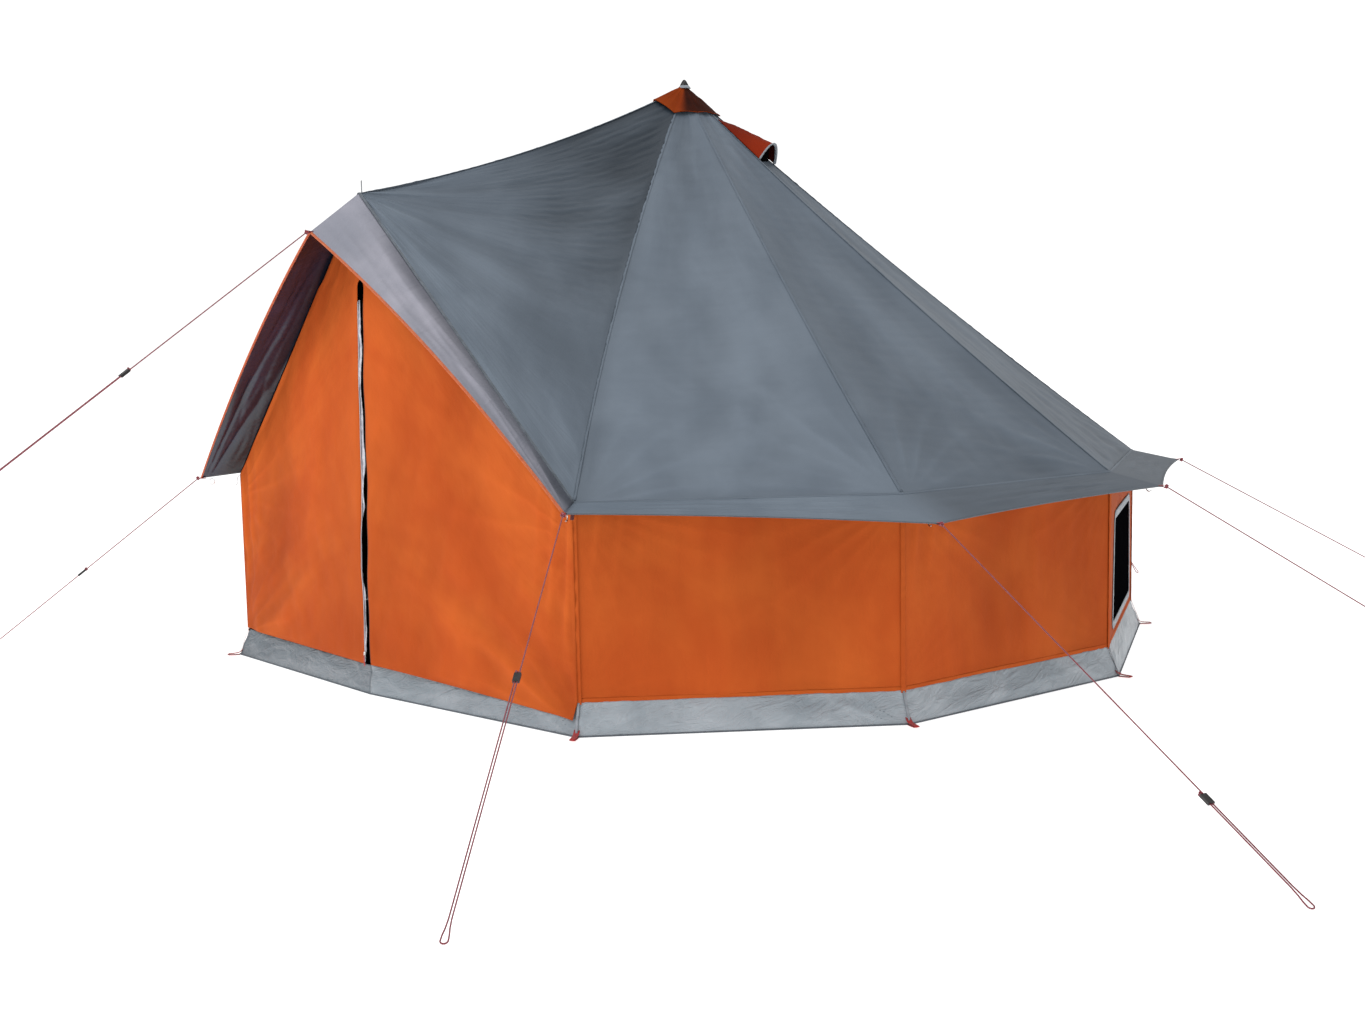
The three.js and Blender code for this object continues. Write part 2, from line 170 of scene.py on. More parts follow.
def on_front(side, x, z):
    """Points on one half of the front wall; side is 1 on the right and -1 on the left."""
    y = PEAK[1] - (PEAK[2] - z) * FRONT_LEAN - FRONT_CLEAR + x * FRONT_SPLAY
    return np.stack(np.broadcast_arrays(side * x, y, z), -1)


def lerp(a, b, t):
    """Points between a and b."""
    t = np.asarray(t, float)[..., None]
    return a * (1 - t) + b * t


def smooth(low, high, x):
    """A soft step from 0 at low to 1 at high."""
    t = np.clip((x - low) / (high - low), 0, 1)
    return t * t * (3 - 2 * t)


# ---- relief of cloth ----
def ripple(x, y, scale, seed, octaves=3):
    """Smooth seeded noise of two coordinates in metres, about -1 to 1."""
    rng = np.random.default_rng(seed)
    total, weight = 0.0, 0.0
    for octave in range(octaves):
        for _ in range(5):
            angle, phase = rng.uniform(0, 2 * math.pi, 2)
            rate = 2 * math.pi * 2 ** octave / scale * rng.uniform(0.7, 1.3)
            along = x * math.cos(angle) + y * math.sin(angle)
            total = total + 0.5 ** octave * np.sin(rate * along + phase)
            weight += 0.5 ** octave
    return total / weight * 2.2


def crease(phase):
    """Thin rounded ridges at every multiple of pi, about zero on average."""
    return np.clip(1 - np.sqrt(np.sin(phase) ** 2 + 0.035), 0, 1) ** 1.8 - 0.22


def fan(x, y, corner, folds, reach, seed):
    """Creases that run out of a pulled corner and fade at reach; folds is how many lie in half a turn."""
    dx, dy = x - corner[0], y - corner[1]
    radius = np.hypot(dx, dy)
    angle = np.arctan2(dy, dx)
    wander = 0.5 * np.sin(3.1 * angle + seed) + 0.25 * np.sin(6.0 * radius / reach + 2.0 * seed)
    fade = np.exp(-(radius / reach) ** 1.6) * (1 - np.exp(-(radius / (0.24 * reach)) ** 2))
    return fade * crease(folds * angle + wander + seed) * (0.75 + 0.25 * np.sin(5.0 * angle + 3.0 * seed))


# ---- meshes ----
def new_object(name, points, faces, materials, face_materials=None, uv=None, flat_faces=(), shade=None):
    """A mesh object; uv and shade hold one value per vertex, and every face but flat_faces is smooth."""
    mesh = bpy.data.meshes.new(name)
    mesh.from_pydata(points.tolist(), [], [list(f) for f in faces])
    for material in materials:
        mesh.materials.append(material)
    soft = np.ones(len(faces), bool)
    soft[list(flat_faces)] = False
    mesh.polygons.foreach_set("use_smooth", soft)
    if face_materials is not None:
        mesh.polygons.foreach_set("material_index", np.asarray(face_materials, np.int32))
    if uv is not None:
        corners = np.zeros(len(mesh.loops), np.int32)
        mesh.loops.foreach_get("vertex_index", corners)
        layer = mesh.uv_layers.new(name="UVMap")
        layer.data.foreach_set("uv", uv[corners].astype(np.float32).ravel())
    if shade is not None:
        layer = mesh.attributes.new("shade", "FLOAT", "POINT")
        layer.data.foreach_set("value", shade.astype(np.float32).ravel())
    mesh.validate()
    obj = bpy.data.objects.new(name, mesh)
    bpy.context.scene.collection.objects.link(obj)
    return obj


def settle(obj, body, nodes):
    """Rides a piece on its body and hides the frame nodes that it stands for."""
    if body:
        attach(obj, body)
    if nodes:
        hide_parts(*nodes)
    return obj


def grid_normals(points):
    """Unit normals of a grid of points."""
    across = np.gradient(points, axis=0)
    along = np.gradient(points, axis=1)
    normal = np.cross(across, along)
    return normal / np.maximum(np.linalg.norm(normal, axis=-1, keepdims=True), 1e-12)


def rim_faces(index, mask, offset):
    """The quads between the outer and the inner face round the kept cells of a grid."""
    cells = np.pad(mask, 1)
    rims = []
    before, after = cells[:-1, 1:-1], cells[1:, 1:-1]
    p, q = index[:, :-1], index[:, 1:]
    rims += [(p, q, after & ~before), (q, p, before & ~after)]
    before, after = cells[1:-1, :-1], cells[1:-1, 1:]
    p, q = index[:-1, :], index[1:, :]
    rims += [(q, p, after & ~before), (p, q, before & ~after)]
    made = [np.stack([a[k], b[k], b[k] + offset, a[k] + offset], -1) for a, b, k in rims]
    return np.concatenate(made)


def cloth(name, surface, size, outside, materials, relief=None, mask=None, spacing=RELIEF_STEP,
          thickness=CLOTH, shade=None, columns=None, rows=None, body="tent", slot=None, nodes=()):
    """A closed thin sheet over surface(u, v), with u and v from 0 to 1.

    size is its width and length in metres, outside a direction on its outer side, relief(x, y, u, v)
    its folds in metres with x and y measured on the flat cloth. The second material is the lining.
    mask(columns, rows) keeps or leaves out each cell, and shade(x, y, u, v) is the cloth's painted
    shade: 0 is its plain colour and 1 its shaded one, and the folds get more of it in their hollows, less on
    their crests.
    """
    width, length = size
    columns = np.linspace(0, 1, max(3, round(width / spacing) + 1)) if columns is None else columns
    rows = np.linspace(0, 1, max(3, round(length / spacing) + 1)) if rows is None else rows
    u, v = np.meshgrid(columns, rows, indexing="ij")
    points = surface(u, v)
    normal = grid_normals(points)
    if (normal.mean((0, 1)) * outside).sum() < 0:
        columns, u, v, points, normal = columns[::-1], u[::-1], v[::-1], points[::-1], -normal[::-1]
    x, y = u * width, v * length
    folds = 0 * u if relief is None else relief(x, y, u, v)
    if relief is not None:
        points = points + normal * folds[..., None]
        normal = grid_normals(points)
    inner = points - normal * thickness
    count = u.size
    index = np.arange(count).reshape(u.shape)
    kept = np.ones((u.shape[0] - 1, u.shape[1] - 1), bool) if mask is None else mask(columns, rows)
    quads = np.stack([index[:-1, :-1], index[1:, :-1], index[1:, 1:], index[:-1, 1:]], -1)[kept]
    rims = rim_faces(index, kept, count)
    faces = np.concatenate([quads, quads[:, ::-1] + count, rims])
    which = np.zeros(len(faces), int)
    if len(materials) > 1:
        which[len(quads):2 * len(quads)] = 1
    flat = np.stack([x, y], -1).reshape(-1, 2)
    painted_shade = None
    if shade is not None:
        # painted shade: the given shade, darker in the hollows of the folds and lighter on their crests
        painted_shade = np.tile(np.clip(shade(x, y, u, v) - HOLLOW_SHADE * folds, 0, 1).ravel(), 2)
    obj = new_object(name, np.concatenate([points.reshape(-1, 3), inner.reshape(-1, 3)]), faces, materials,
                     which, np.tile(flat, (2, 1)), range(2 * len(quads), len(faces)), painted_shade)
    used = np.zeros(2 * count, bool)
    used[faces.ravel()] = True
    if not used.all():
        drop_loose(obj)
    return settle(obj, body, nodes)


def drop_loose(obj):
    """Removes the vertices that no face uses, where a mask left cells out."""
    built = bmesh.new()
    built.from_mesh(obj.data)
    bmesh.ops.delete(built, geom=[v for v in built.verts if not v.link_faces], context="VERTS")
    built.to_mesh(obj.data)
    built.free()


def frames_along(path):
    """Unit tangents of a polyline, and two directions across it that don't twist."""
    tangent = np.gradient(path, axis=0)
    tangent /= np.linalg.norm(tangent, axis=1, keepdims=True)
    first = np.cross(tangent[0], [0, 0, 1])
    if np.linalg.norm(first) < 1e-3:
        first = np.array([1.0, 0, 0])
    sides = [first / np.linalg.norm(first)]
    for t in tangent[1:]:
        side = sides[-1] - t * (sides[-1] @ t)
        sides.append(side / np.linalg.norm(side))
    side = np.array(sides)
    return tangent, side, np.cross(tangent, side)


def tube(name, path, radius, material, sides=10, closed_ends=True, flatten=1.0, across=None, body="tent",
         nodes=()):
    """A round tube along a polyline, or one flattened at right angles to across.

    Its UVs are metres along it and turns round it.
    """
    path = np.asarray(path, float)
    tangent, side, up = frames_along(path)
    if across is not None:
        side = across - tangent * (tangent @ across)[:, None]
        side = side / np.linalg.norm(side, axis=1, keepdims=True)
        up = np.cross(tangent, side)
    angles = np.arange(sides) * 2 * math.pi / sides
    radii = np.broadcast_to(radius, len(path))[:, None, None]
    cosine, sine = np.cos(angles)[None, :, None], np.sin(angles)[None, :, None]
    ring = cosine * side[:, None] + flatten * sine * up[:, None]
    points = (path[:, None] + radii * ring).reshape(-1, 3)
    along = np.concatenate([[0], np.cumsum(np.linalg.norm(np.diff(path, axis=0), axis=1))])
    uv = np.stack(np.broadcast_arrays(along[:, None], angles[None] / (2 * math.pi)), -1).reshape(-1, 2)
    count = len(path)
    faces = []
    for i in range(count - 1):
        for k in range(sides):
            n = (k + 1) % sides
            faces.append((i * sides + k, i * sides + n, (i + 1) * sides + n, (i + 1) * sides + k))
    flat = []
    if closed_ends:
        flat = [len(faces), len(faces) + 1]
        faces.append(tuple(reversed(range(sides))))
        faces.append(tuple(range((count - 1) * sides, count * sides)))
    obj = new_object(name, points, faces, [material], uv=uv, flat_faces=flat)
    return settle(obj, body, nodes)


def spin(name, profile, centre, material, nodes=()):
    """A body turned from a profile of (radius, z), closed at both ends on the axis."""
    segments = 48
    angles = np.arange(segments) * 2 * math.pi / segments
    points, rows = [], []
    for radius, z in profile:
        if radius < 1e-6:
            rows.append([len(points)])
            points.append((centre[0], centre[1], centre[2] + z))
        else:
            rows.append(list(range(len(points), len(points) + segments)))
            points += [(centre[0] + radius * math.cos(a), centre[1] + radius * math.sin(a), centre[2] + z)
                       for a in angles]
    faces = []
    for low, high in zip(rows, rows[1:]):
        for k in range(segments):
            n = (k + 1) % segments
            quad = [low[k % len(low)], low[n % len(low)], high[n % len(high)], high[k % len(high)]]
            faces.append(tuple(dict.fromkeys(quad)))
    uv = np.array([[math.atan2(p[1] - centre[1], p[0] - centre[0]) * 0.02, p[2]] for p in points])
    obj = new_object(name, np.array(points), faces, [material], uv=uv)
    obj.modifiers.new("edges", "EDGE_SPLIT").split_angle = math.radians(40)
    return settle(obj, "tent", nodes)


# ---- materials ----
def linear(code):
    """An sRGB colour such as "c55a2a" as linear RGBA."""
    parts = [int(code[i:i + 2], 16) / 255 for i in (0, 2, 4)]
    return [p / 12.92 if p <= 0.04045 else ((p + 0.055) / 1.055) ** 2.4 for p in parts] + [1]


class Shader:
    """A material's node tree with short calls for the nodes that this scene uses."""

    def __init__(self, name, roughness, **sockets):
        self.material = bpy.data.materials.new(name)
        self.material.use_nodes = True
        self.tree = self.material.node_tree
        self.surface = self.tree.nodes["Principled BSDF"]
        self.surface.inputs["Roughness"].default_value = roughness
        for socket, value in sockets.items():
            self.surface.inputs[socket.replace("_", " ")].default_value = value
        self.uv = self.add("TexCoord").outputs["UV"]

    def add(self, kind, settings=None, *inputs):
        node = self.tree.nodes.new("ShaderNode" + kind)
        for key, value in (settings or {}).items():
            setattr(node, key, value)
        for socket, value in zip(node.inputs, inputs):
            self.set(socket, value)
        return node

    def set(self, socket, value):
        if isinstance(value, bpy.types.NodeSocket):
            self.tree.links.new(value, socket)
        elif value is not None:
            socket.default_value = value

    def math(self, operation, a, b=0.0, clamp=False):
        return self.add("Math", {"operation": operation, "use_clamp": clamp}, a, b).outputs[0]

    def split(self, vector):
        return self.add("SeparateXYZ", None, vector).outputs

    def stretched(self, x, y, turn=0.0, vector=None):
        """The UVs in metres, turned and scaled."""
        settings = {"vector_type": "POINT"}
        source = self.uv if vector is None else vector
        turned = self.add("Mapping", settings, source, (0, 0, 0), (0, 0, turn)).outputs[0]
        return self.add("Mapping", settings, turned, (0, 0, 0), (0, 0, 0), (x, y, 1)).outputs[0]

    def noise(self, vector, scale=1.0, detail=3.0, rough=0.5, warp=0.0):
        node = self.add("TexNoise")
        for key, value in (("Vector", vector), ("Scale", scale), ("Detail", detail),
                           ("Roughness", rough), ("Distortion", warp)):
            self.set(node.inputs[key], value)
        return node.outputs[0]

    def ramp(self, value, low, high):
        node = self.add("MapRange", {"interpolation_type": "SMOOTHSTEP"}, value, low, high)
        return node.outputs[0]

    def mix(self, share, a, b):
        node = self.add("Mix", {"data_type": "RGBA"})
        self.set(node.inputs[0], share)
        self.set(node.inputs[6], a)
        self.set(node.inputs[7], b)
        return node.outputs[2]

    def weave(self, period):
        """Crossing threads of that period in metres, 0 to 1."""
        x, y, _ = self.split(self.uv)
        rate = 2 * math.pi / period
        warp = self.math("SINE", self.math("MULTIPLY", x, rate))
        weft = self.math("SINE", self.math("MULTIPLY", y, rate))
        return self.math("MULTIPLY_ADD", self.math("MULTIPLY", warp, weft), 0.5)

    def colour(self, value):
        self.set(self.surface.inputs["Base Color"], value)

    def relief(self, *layers):
        """Bump from (height, depth in metres) layers, laid on each other."""
        normal = None
        for height, depth in layers:
            node = self.add("Bump")
            self.set(node.inputs["Height"], height)
            self.set(node.inputs["Distance"], depth)
            self.set(node.inputs["Normal"], normal)
            normal = node.outputs[0]
        self.set(self.surface.inputs["Normal"], normal)


def attribute(shader, name):
    return shader.add("Attribute", {"attribute_name": name}).outputs["Fac"]


def coated_cloth(name, dark, light, shaded_colour, roughness=0.5, sheen=0.15, specular=0.35, wrinkle=0.0035,
                 along=(2.0, 9.0), weave=0.0014):
    """Coated polyester: patchy dye, woven threads, small wrinkles that run one way more than the other.

    The colour after light is its painted shade colour, shown where the mesh's shade attribute is 1.
    """
    s = Shader(name, roughness, Sheen_Weight=sheen, Specular_IOR_Level=specular)
    patches = s.ramp(s.noise(s.uv, 1.6, 4, 0.55, 0.4), 0.32, 0.68)
    streaks = s.noise(s.stretched(14, 1.1), 1.0, 3)
    tone = s.math("MULTIPLY_ADD", streaks, 0.35)
    s.set(tone.node.inputs[2], -0.17)
    tone = s.math("ADD", patches, tone, clamp=True)
    base = s.mix(tone, linear(dark), linear(light))
    # painted shade: mixes towards the shaded colour by the mesh's shade attribute
    s.colour(s.mix(attribute(s, "shade"), base, linear(shaded_colour)))
    long_wrinkles = s.noise(s.stretched(*along), 1.0, 3, 0.5, 0.6)
    small = s.noise(s.stretched(9, 22, 0.5), 1.0, 4, 0.6, 0.8)
    s.relief((long_wrinkles, wrinkle), (small, wrinkle * 0.28), (s.weave(weave), 0.00004))
    return s.material


def tarpaulin_cloth(name, dark, light, shaded_colour):
    """Woven polyethylene tape with a glossy coating, creased from being packed."""
    s = Shader(name, 0.34, Specular_IOR_Level=0.55)
    patches = s.ramp(s.noise(s.uv, 3.0, 4, 0.6, 0.5), 0.3, 0.7)
    # painted shade: mixes towards the shaded colour where the mesh's shade attribute is 1
    s.colour(s.mix(attribute(s, "shade"), s.mix(patches, linear(dark), linear(light)), linear(shaded_colour)))
    folds = s.noise(s.stretched(5, 14, 0.35), 1.0, 4, 0.55, 1.6)
    ridges = s.math("ABSOLUTE", s.math("SUBTRACT", folds, 0.5))
    small = s.noise(s.uv, 38, 4, 0.65, 0.8)
    s.relief((ridges, 0.018), (small, 0.0011), (s.weave(0.003), 0.00006))
    return s.material


def webbing_cloth(name, dark, light, period=0.0022):
    """Ribbed tape: webbing, binding and seam tape, with a row of stitches near the middle."""
    s = Shader(name, 0.6, Sheen_Weight=0.25)
    _, y, _ = s.split(s.uv)
    ribs = s.math("SINE", s.math("MULTIPLY", y, 2 * math.pi / period))
    patches = s.noise(s.uv, 30, 3)
    s.colour(s.mix(s.ramp(patches, 0.35, 0.65), linear(dark), linear(light)))
    stitch = s.ramp(s.math("SINE", s.math("MULTIPLY", y, 2 * math.pi / 0.006)), 0.1, 0.6)
    s.relief((patches, 0.0012), (ribs, 0.00008), (stitch, 0.00025))
    return s.material


def braided_rope(name, ground, fleck):
    """Braided cord with flecks that turn round it."""
    s = Shader(name, 0.65, Sheen_Weight=0.2)
    x, y, _ = s.split(s.uv)
    turn = s.math("MULTIPLY", y, 2 * math.pi * 2)
    rate = s.math("MULTIPLY", x, 2 * math.pi / 0.011)
    one = s.math("SINE", s.math("ADD", rate, turn))
    two = s.math("SINE", s.math("SUBTRACT", rate, turn))
    s.colour(s.mix(s.ramp(s.math("MULTIPLY", one, two), 0.45, 0.75), linear(ground), linear(fleck)))
    strands = s.math("ABSOLUTE", s.math("SINE", s.math("MULTIPLY", s.math("ADD", rate, turn), 2.0)))
    s.relief((strands, 0.0005))
    return s.material


def moulded_plastic(name, code, roughness=0.42):
    s = Shader(name, roughness, Specular_IOR_Level=0.5)
    position = s.add("TexCoord").outputs["Object"]
    patches = s.noise(position, 60, 3)
    lighter = [min(1, c * 1.6 + 0.01) for c in linear(code)[:3]] + [1]
    s.colour(s.mix(s.ramp(patches, 0.4, 0.7), linear(code), lighter))
    s.relief((s.noise(position, 900, 3), 0.0002))
    return s.material


def bare_metal(name, dark, light, roughness=0.32):
    """Drawn metal tube with fine lines along it and dull patches."""
    s = Shader(name, roughness, Metallic=1.0)
    position = s.add("TexCoord").outputs["Object"]
    lines = s.noise(s.stretched(500, 6, vector=position), 1.0, 3)
    patches = s.noise(position, 14, 4)
    s.colour(s.mix(s.ramp(patches, 0.35, 0.65), linear(dark), linear(light)))
    s.relief((lines, 0.0001), (patches, 0.0002))
    return s.material


def gauze_cloth(name):
    """Fine black netting: knots and holes of a millimetre and a half."""
    s = Shader(name, 1.0, Specular_IOR_Level=0.0)
    net = s.weave(0.003)
    patches = s.noise(s.uv, 4, 3)
    s.colour(s.mix(net, linear("020202"), s.mix(patches, linear("08080a"), linear("101014"))))
    s.relief((net, 0.0004), (patches, 0.004))
    return s.material


ORANGE = coated_cloth("orange_polyester", "c05420", "cf6428", "702606", 0.75, 0.0, 0.10, 0.0045, (9.0, 1.8))
ORANGE_LINING = coated_cloth("orange_lining", "8a3f1e", "9c4a26", "6a2a10", 0.7, 0.02, 0.15)
SLATE = coated_cloth("slate_polyester", "66727f", "74808d", "28323c", 0.5, 0.03, 0.35, 0.0026, (1.6, 8.0))
# a lighter copy of the slate roof cloth: painted light for the folded awnings
SLATE_LIT_FOLDED = coated_cloth("slate_polyester_lit_folded", "828490", "a4a2ae", "41444f", 0.42, 0.05, 0.45, 0.007,
                            (3.0, 15.0))
SLATE_FRONT = coated_cloth("slate_polyester_front", "65717e", "74808d", "28323c", 0.5, 0.03, 0.4, 0.0022,
                           (3.0, 30.0))
CHARCOAL = coated_cloth("charcoal_lining", "161a28", "2a3048", "0e1018", 0.36, 0.0, 0.6, 0.006, (4.0, 11.0))
HOOD_LINING = coated_cloth("hood_lining", "3a0e06", "4c1408", "1c0402", 0.8, 0.0, 0.05, 0.003, (9.0, 9.0))
CAP = coated_cloth("cap_polyester", "7a2c06", "a4460e", "1e0501", 0.7, 0.0, 0.08, 0.004, (9.0, 9.0))
HOOD = coated_cloth("hood_polyester", "7e2008", "98300c", "380a02", 0.7, 0.0, 0.08, 0.003, (9.0, 9.0))
TUB = tarpaulin_cloth("grey_tarpaulin", "919ca4", "a9b2b9", "4c555d")
TUB_INSIDE = tarpaulin_cloth("grey_tarpaulin_inside", "6a747c", "7d878f", "4a5258")
GREY_TAPE = webbing_cloth("grey_seam_tape", "7c848c", "9ba1a8")
DARK_TAPE = webbing_cloth("dark_seam_tape", "4a535c", "5d6670")
ORANGE_TAPE = webbing_cloth("orange_binding", "c44a18", "e07a3a")
RED_WEBBING = webbing_cloth("red_webbing", "a81010", "c41c18", 0.003)
MAROON_WEBBING = webbing_cloth("maroon_webbing", "4c1210", "6e1c16", 0.003)
ZIP_TAPE = webbing_cloth("zip_tape", "acacb6", "d4d4da")
ROPE = braided_rope("red_white_rope", "7c0c20", "c890a0")
BLACK = moulded_plastic("black_plastic", "0e0e10")
GAUZE = gauze_cloth("black_gauze")
STEEL = bare_metal("galvanised_steel", "8f9296", "b4b7bb")
ZIP_METAL = bare_metal("lacquered_zip_metal", "c8c8c8", "f0f0f0", 0.28)


# ---- camera, light and floor ----
def make_camera():
    """The photograph's place and view: 8.5 m away, at 44 degrees to the right of the door."""
    azimuth, distance, height = math.radians(44.2627), 8.511, 1.5986
    yaw, pitch, roll = math.radians(0.3526), math.radians(-6.435), math.radians(-1.1006)
    camera = bpy.data.cameras.new("camera")
    camera.sensor_width = 36
    camera.lens = 41.57
    camera.clip_end = 200
    obj = bpy.data.objects.new("camera", camera)
    bpy.context.scene.collection.objects.link(obj)
    obj.location = polar(distance, azimuth, height)
    heading = azimuth + yaw
    level_part = math.cos(pitch)
    forward = Vector((-math.sin(heading) * level_part, math.cos(heading) * level_part, math.sin(pitch)))
    level = forward.cross(Vector((0, 0, 1))).normalized()
    upright = level.cross(forward)
    right = level * math.cos(roll) + upright * math.sin(roll)
    up = upright * math.cos(roll) - level * math.sin(roll)
    obj.rotation_mode = "QUATERNION"
    turn = [[right[k], up[k], -forward[k]] for k in range(3)]
    obj.rotation_quaternion = Matrix(turn).to_quaternion()
    bpy.context.scene.camera = obj


def area_light(name, azimuth, elevation, distance, size, power, target=(0, 0, 1.2)):
    """A round soft light; azimuth is in degrees from the door towards the right."""
    light = bpy.data.lights.new(name, "AREA")
    light.shape = "DISK"
    light.size = size
    light.energy = power
    obj = bpy.data.objects.new(name, light)
    bpy.context.scene.collection.objects.link(obj)
    a, e = math.radians(azimuth), math.radians(elevation)
    away = Vector((math.sin(a) * math.cos(e), -math.cos(a) * math.cos(e), math.sin(e)))
    obj.location = Vector(target) + away * distance
    obj.rotation_mode = "QUATERNION"
    obj.rotation_quaternion = away.to_track_quat("Z", "Y")


def make_studio():
    """A white backdrop for the camera, dimmer light on the tent, a key light in front and one overhead."""
    world = bpy.data.worlds.new("studio")
    bpy.context.scene.world = world
    world.use_nodes = True
    nodes, links = world.node_tree.nodes, world.node_tree.links
    background = nodes["Background"]
    background.inputs["Color"].default_value = (1, 1, 1, 1)
    seen = nodes.new("ShaderNodeLightPath").outputs["Is Camera Ray"]
    strength = nodes.new("ShaderNodeMapRange")
    strength.inputs["To Min"].default_value = 0.62
    strength.inputs["To Max"].default_value = 1.1
    links.new(seen, strength.inputs["Value"])
    links.new(strength.outputs[0], background.inputs["Strength"])
    area_light("key", azimuth=-4, elevation=40, distance=10, size=4.5, power=290)
    area_light("overhead", azimuth=50, elevation=78, distance=9, size=6.0, power=110)
    make_floor()
    bpy.context.scene.view_settings.view_transform = "Standard"
    bpy.context.scene.view_settings.look = "None"


def make_floor():
    """A wide pale floor just below the ground's level."""
    floor_shader = Shader("studio_floor", 0.9, Emission_Strength=0.75, Specular_IOR_Level=0.0)
    floor_shader.surface.inputs["Base Color"].default_value = (0.86, 0.86, 0.86, 1)
    floor_shader.surface.inputs["Emission Color"].default_value = (1, 1, 1, 1)
    mesh = bpy.data.meshes.new("studio_floor")
    reach = 90
    mesh.from_pydata([(-reach, -reach, 0), (reach, -reach, 0), (reach, reach, 0), (-reach, reach, 0)], [],
                     [(0, 1, 2, 3)])
    mesh.materials.append(floor_shader.material)
    floor = bpy.data.objects.new("studio_floor", mesh)
    floor.location.z = -0.0005
    bpy.context.scene.collection.objects.link(floor)


# ---- guy ropes ----
PORCH_ROPE = {"heading": 0, "run": 1.428, "end_z": 1.100, "grip": 0.6}
CORNER_ROPES = {                      # heading in degrees from the door, or straight outwards
    1: {"heading": 39, "run": 1.985, "grip": 0.47},
    2: {"run": 2.000, "grip": 0.78},
    3: {"run": 1.600, "grip": 0.78},
    4: {"run": 1.600, "grip": 0.78},
    5: {"run": 0.700, "grip": 0.6},
    -5: {"run": 0.700, "grip": 0.6},
    -4: {"run": 0.700, "grip": 0.6},
    -3: {"run": 0.700, "grip": 0.6},
    -2: {"heading": -95, "run": 0.400, "grip": 0.6},
    -1: {"heading": -35, "run": 1.180, "grip": 0.5},
}


class GuyLine:
    """The line that a rope lies on, from the tent through its tensioner to its anchor, as in the frame."""

    def __init__(self, start, heading, run, grip, end_z=ROPE_GROUND_Z):
        outward = polar(1, heading, 0)
        self.corner = start
        self.start = start + outward * ROPE_STAND_OFF
        end = self.start + outward * run
        end[2] = end_z
        self.along = end - self.start
        self.length = np.linalg.norm(self.along)
        self.along = self.along / self.length
        self.sideways = np.cross([0, 0, 1], outward)
        self.grip = self.length * grip

    def place(self, t, across):
        return self.start + self.along * t + self.sideways * (across - ROPE_PITCH / 2)

    def route(self):
        half = ROPE_PITCH / 2
        neck = [(self.length - 0.090, half), (self.length - 0.055, half + 0.002),
                (self.length - 0.030, half + 0.0055)]
        out = [(0, half), (self.grip, half), *neck]
        for k in range(17):
            angle = math.pi * (k / 16 - 0.5)
            out.append((self.length - ROPE_LOOP_R + ROPE_LOOP_R * math.cos(angle),
                        -ROPE_LOOP_R * math.sin(angle)))
        back = [(t, -across) for t, across in reversed(neck)]
        return [self.place(t, across) for t, across in (*out, *back, (self.grip - ROPE_TAIL, -half))]


def densify(route, longest=0.05):
    """The same polyline with no span longer than that."""
    points = []
    for a, b in zip(route, route[1:]):
        spans = max(1, math.ceil(np.linalg.norm(b - a) / longest))
        points += [a + (b - a) * k / spans for k in range(spans)]
    return [*points, route[-1]]


def knot(name, centre, along, size, material):
    """An overhand knot: a tube on a small trefoil whose axis lies along the rope."""
    along = along / np.linalg.norm(along)
    side = np.cross(along, [0, 0, 1])
    side = side / np.linalg.norm(side)
    up = np.cross(along, side)
    path = []
    for k in range(37):
        t = 2 * math.pi * k / 36
        x = math.sin(t) + 2 * math.sin(2 * t)
        y = math.cos(t) - 2 * math.cos(2 * t)
        path.append(centre + (side * x + up * y) * size / 6 + along * math.sin(3 * t) * size / 4)
    return tube(name, path, size * 0.2, material, 8, closed_ends=False)


def make_tensioner(guy):
    """The frame's flat bar with its two rope holes, in black plastic with rounded edges."""
    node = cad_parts[f"tensioner_{guy}"]
    mesh = node.data.copy()
    mesh.name = f"slider_{guy}"
    obj = bpy.data.objects.new(f"slider_{guy}", mesh)
    bpy.context.scene.collection.objects.link(obj)
    mesh.materials.clear()
    mesh.materials.append(BLACK)
    built = bmesh.new()
    built.from_mesh(mesh)
    bmesh.ops.remove_doubles(built, verts=built.verts, dist=1e-5)
    bmesh.ops.dissolve_limit(built, angle_limit=math.radians(2), verts=built.verts, edges=built.edges)
    built.to_mesh(mesh)
    built.free()
    bevel = obj.modifiers.new("rounded", "BEVEL")
    bevel.width = 0.0022
    bevel.segments = 3
    bevel.limit_method = "ANGLE"
    bevel.angle_limit = math.radians(50)
    return settle(obj, f"tensioner_{guy}_body", [f"tensioner_{guy}"])


def make_guy(guy, line):
    route = densify(line.route())
    rope = tube(f"rope_{guy}", route, ROPE_R, ROPE, 10, nodes=[f"guy_rope_{guy}"])
    slider = make_tensioner(guy)
    hitch = knot(f"rope_hitch_{guy}", line.place(0.004, ROPE_PITCH / 2), line.along, 0.017, ROPE)
    tail = line.place(line.grip - ROPE_TAIL, -ROPE_PITCH / 2)
    stopper = knot(f"rope_end_{guy}", tail, line.along, 0.014, ROPE)
    # a webbing loop from the cloth's corner round the rope
    inward = line.corner - line.start
    inward = inward / np.linalg.norm(inward)
    sling = [line.corner + inward * 0.020 + [0, 0, 0.002], line.corner + [0, 0, 0.003],
             line.start + [0, 0, 0.005], line.start - inward * 0.006, line.start - [0, 0, 0.005],
             line.corner - [0, 0, 0.003], line.corner + inward * 0.020 - [0, 0, 0.004]]
    tube(f"corner_loop_{guy}", sling, 0.010, RED_WEBBING, 10, flatten=0.14, across=line.sideways)


def guy_lines():
    lines = {"porch": GuyLine(AWNING_TIP, **PORCH_ROPE)}
    for corner, rope in CORNER_ROPES.items():
        heading = math.radians(rope["heading"]) if "heading" in rope else corner * STEP
        lines[name_of(corner)] = GuyLine(eave(corner), heading, rope["run"], rope["grip"])
    return lines


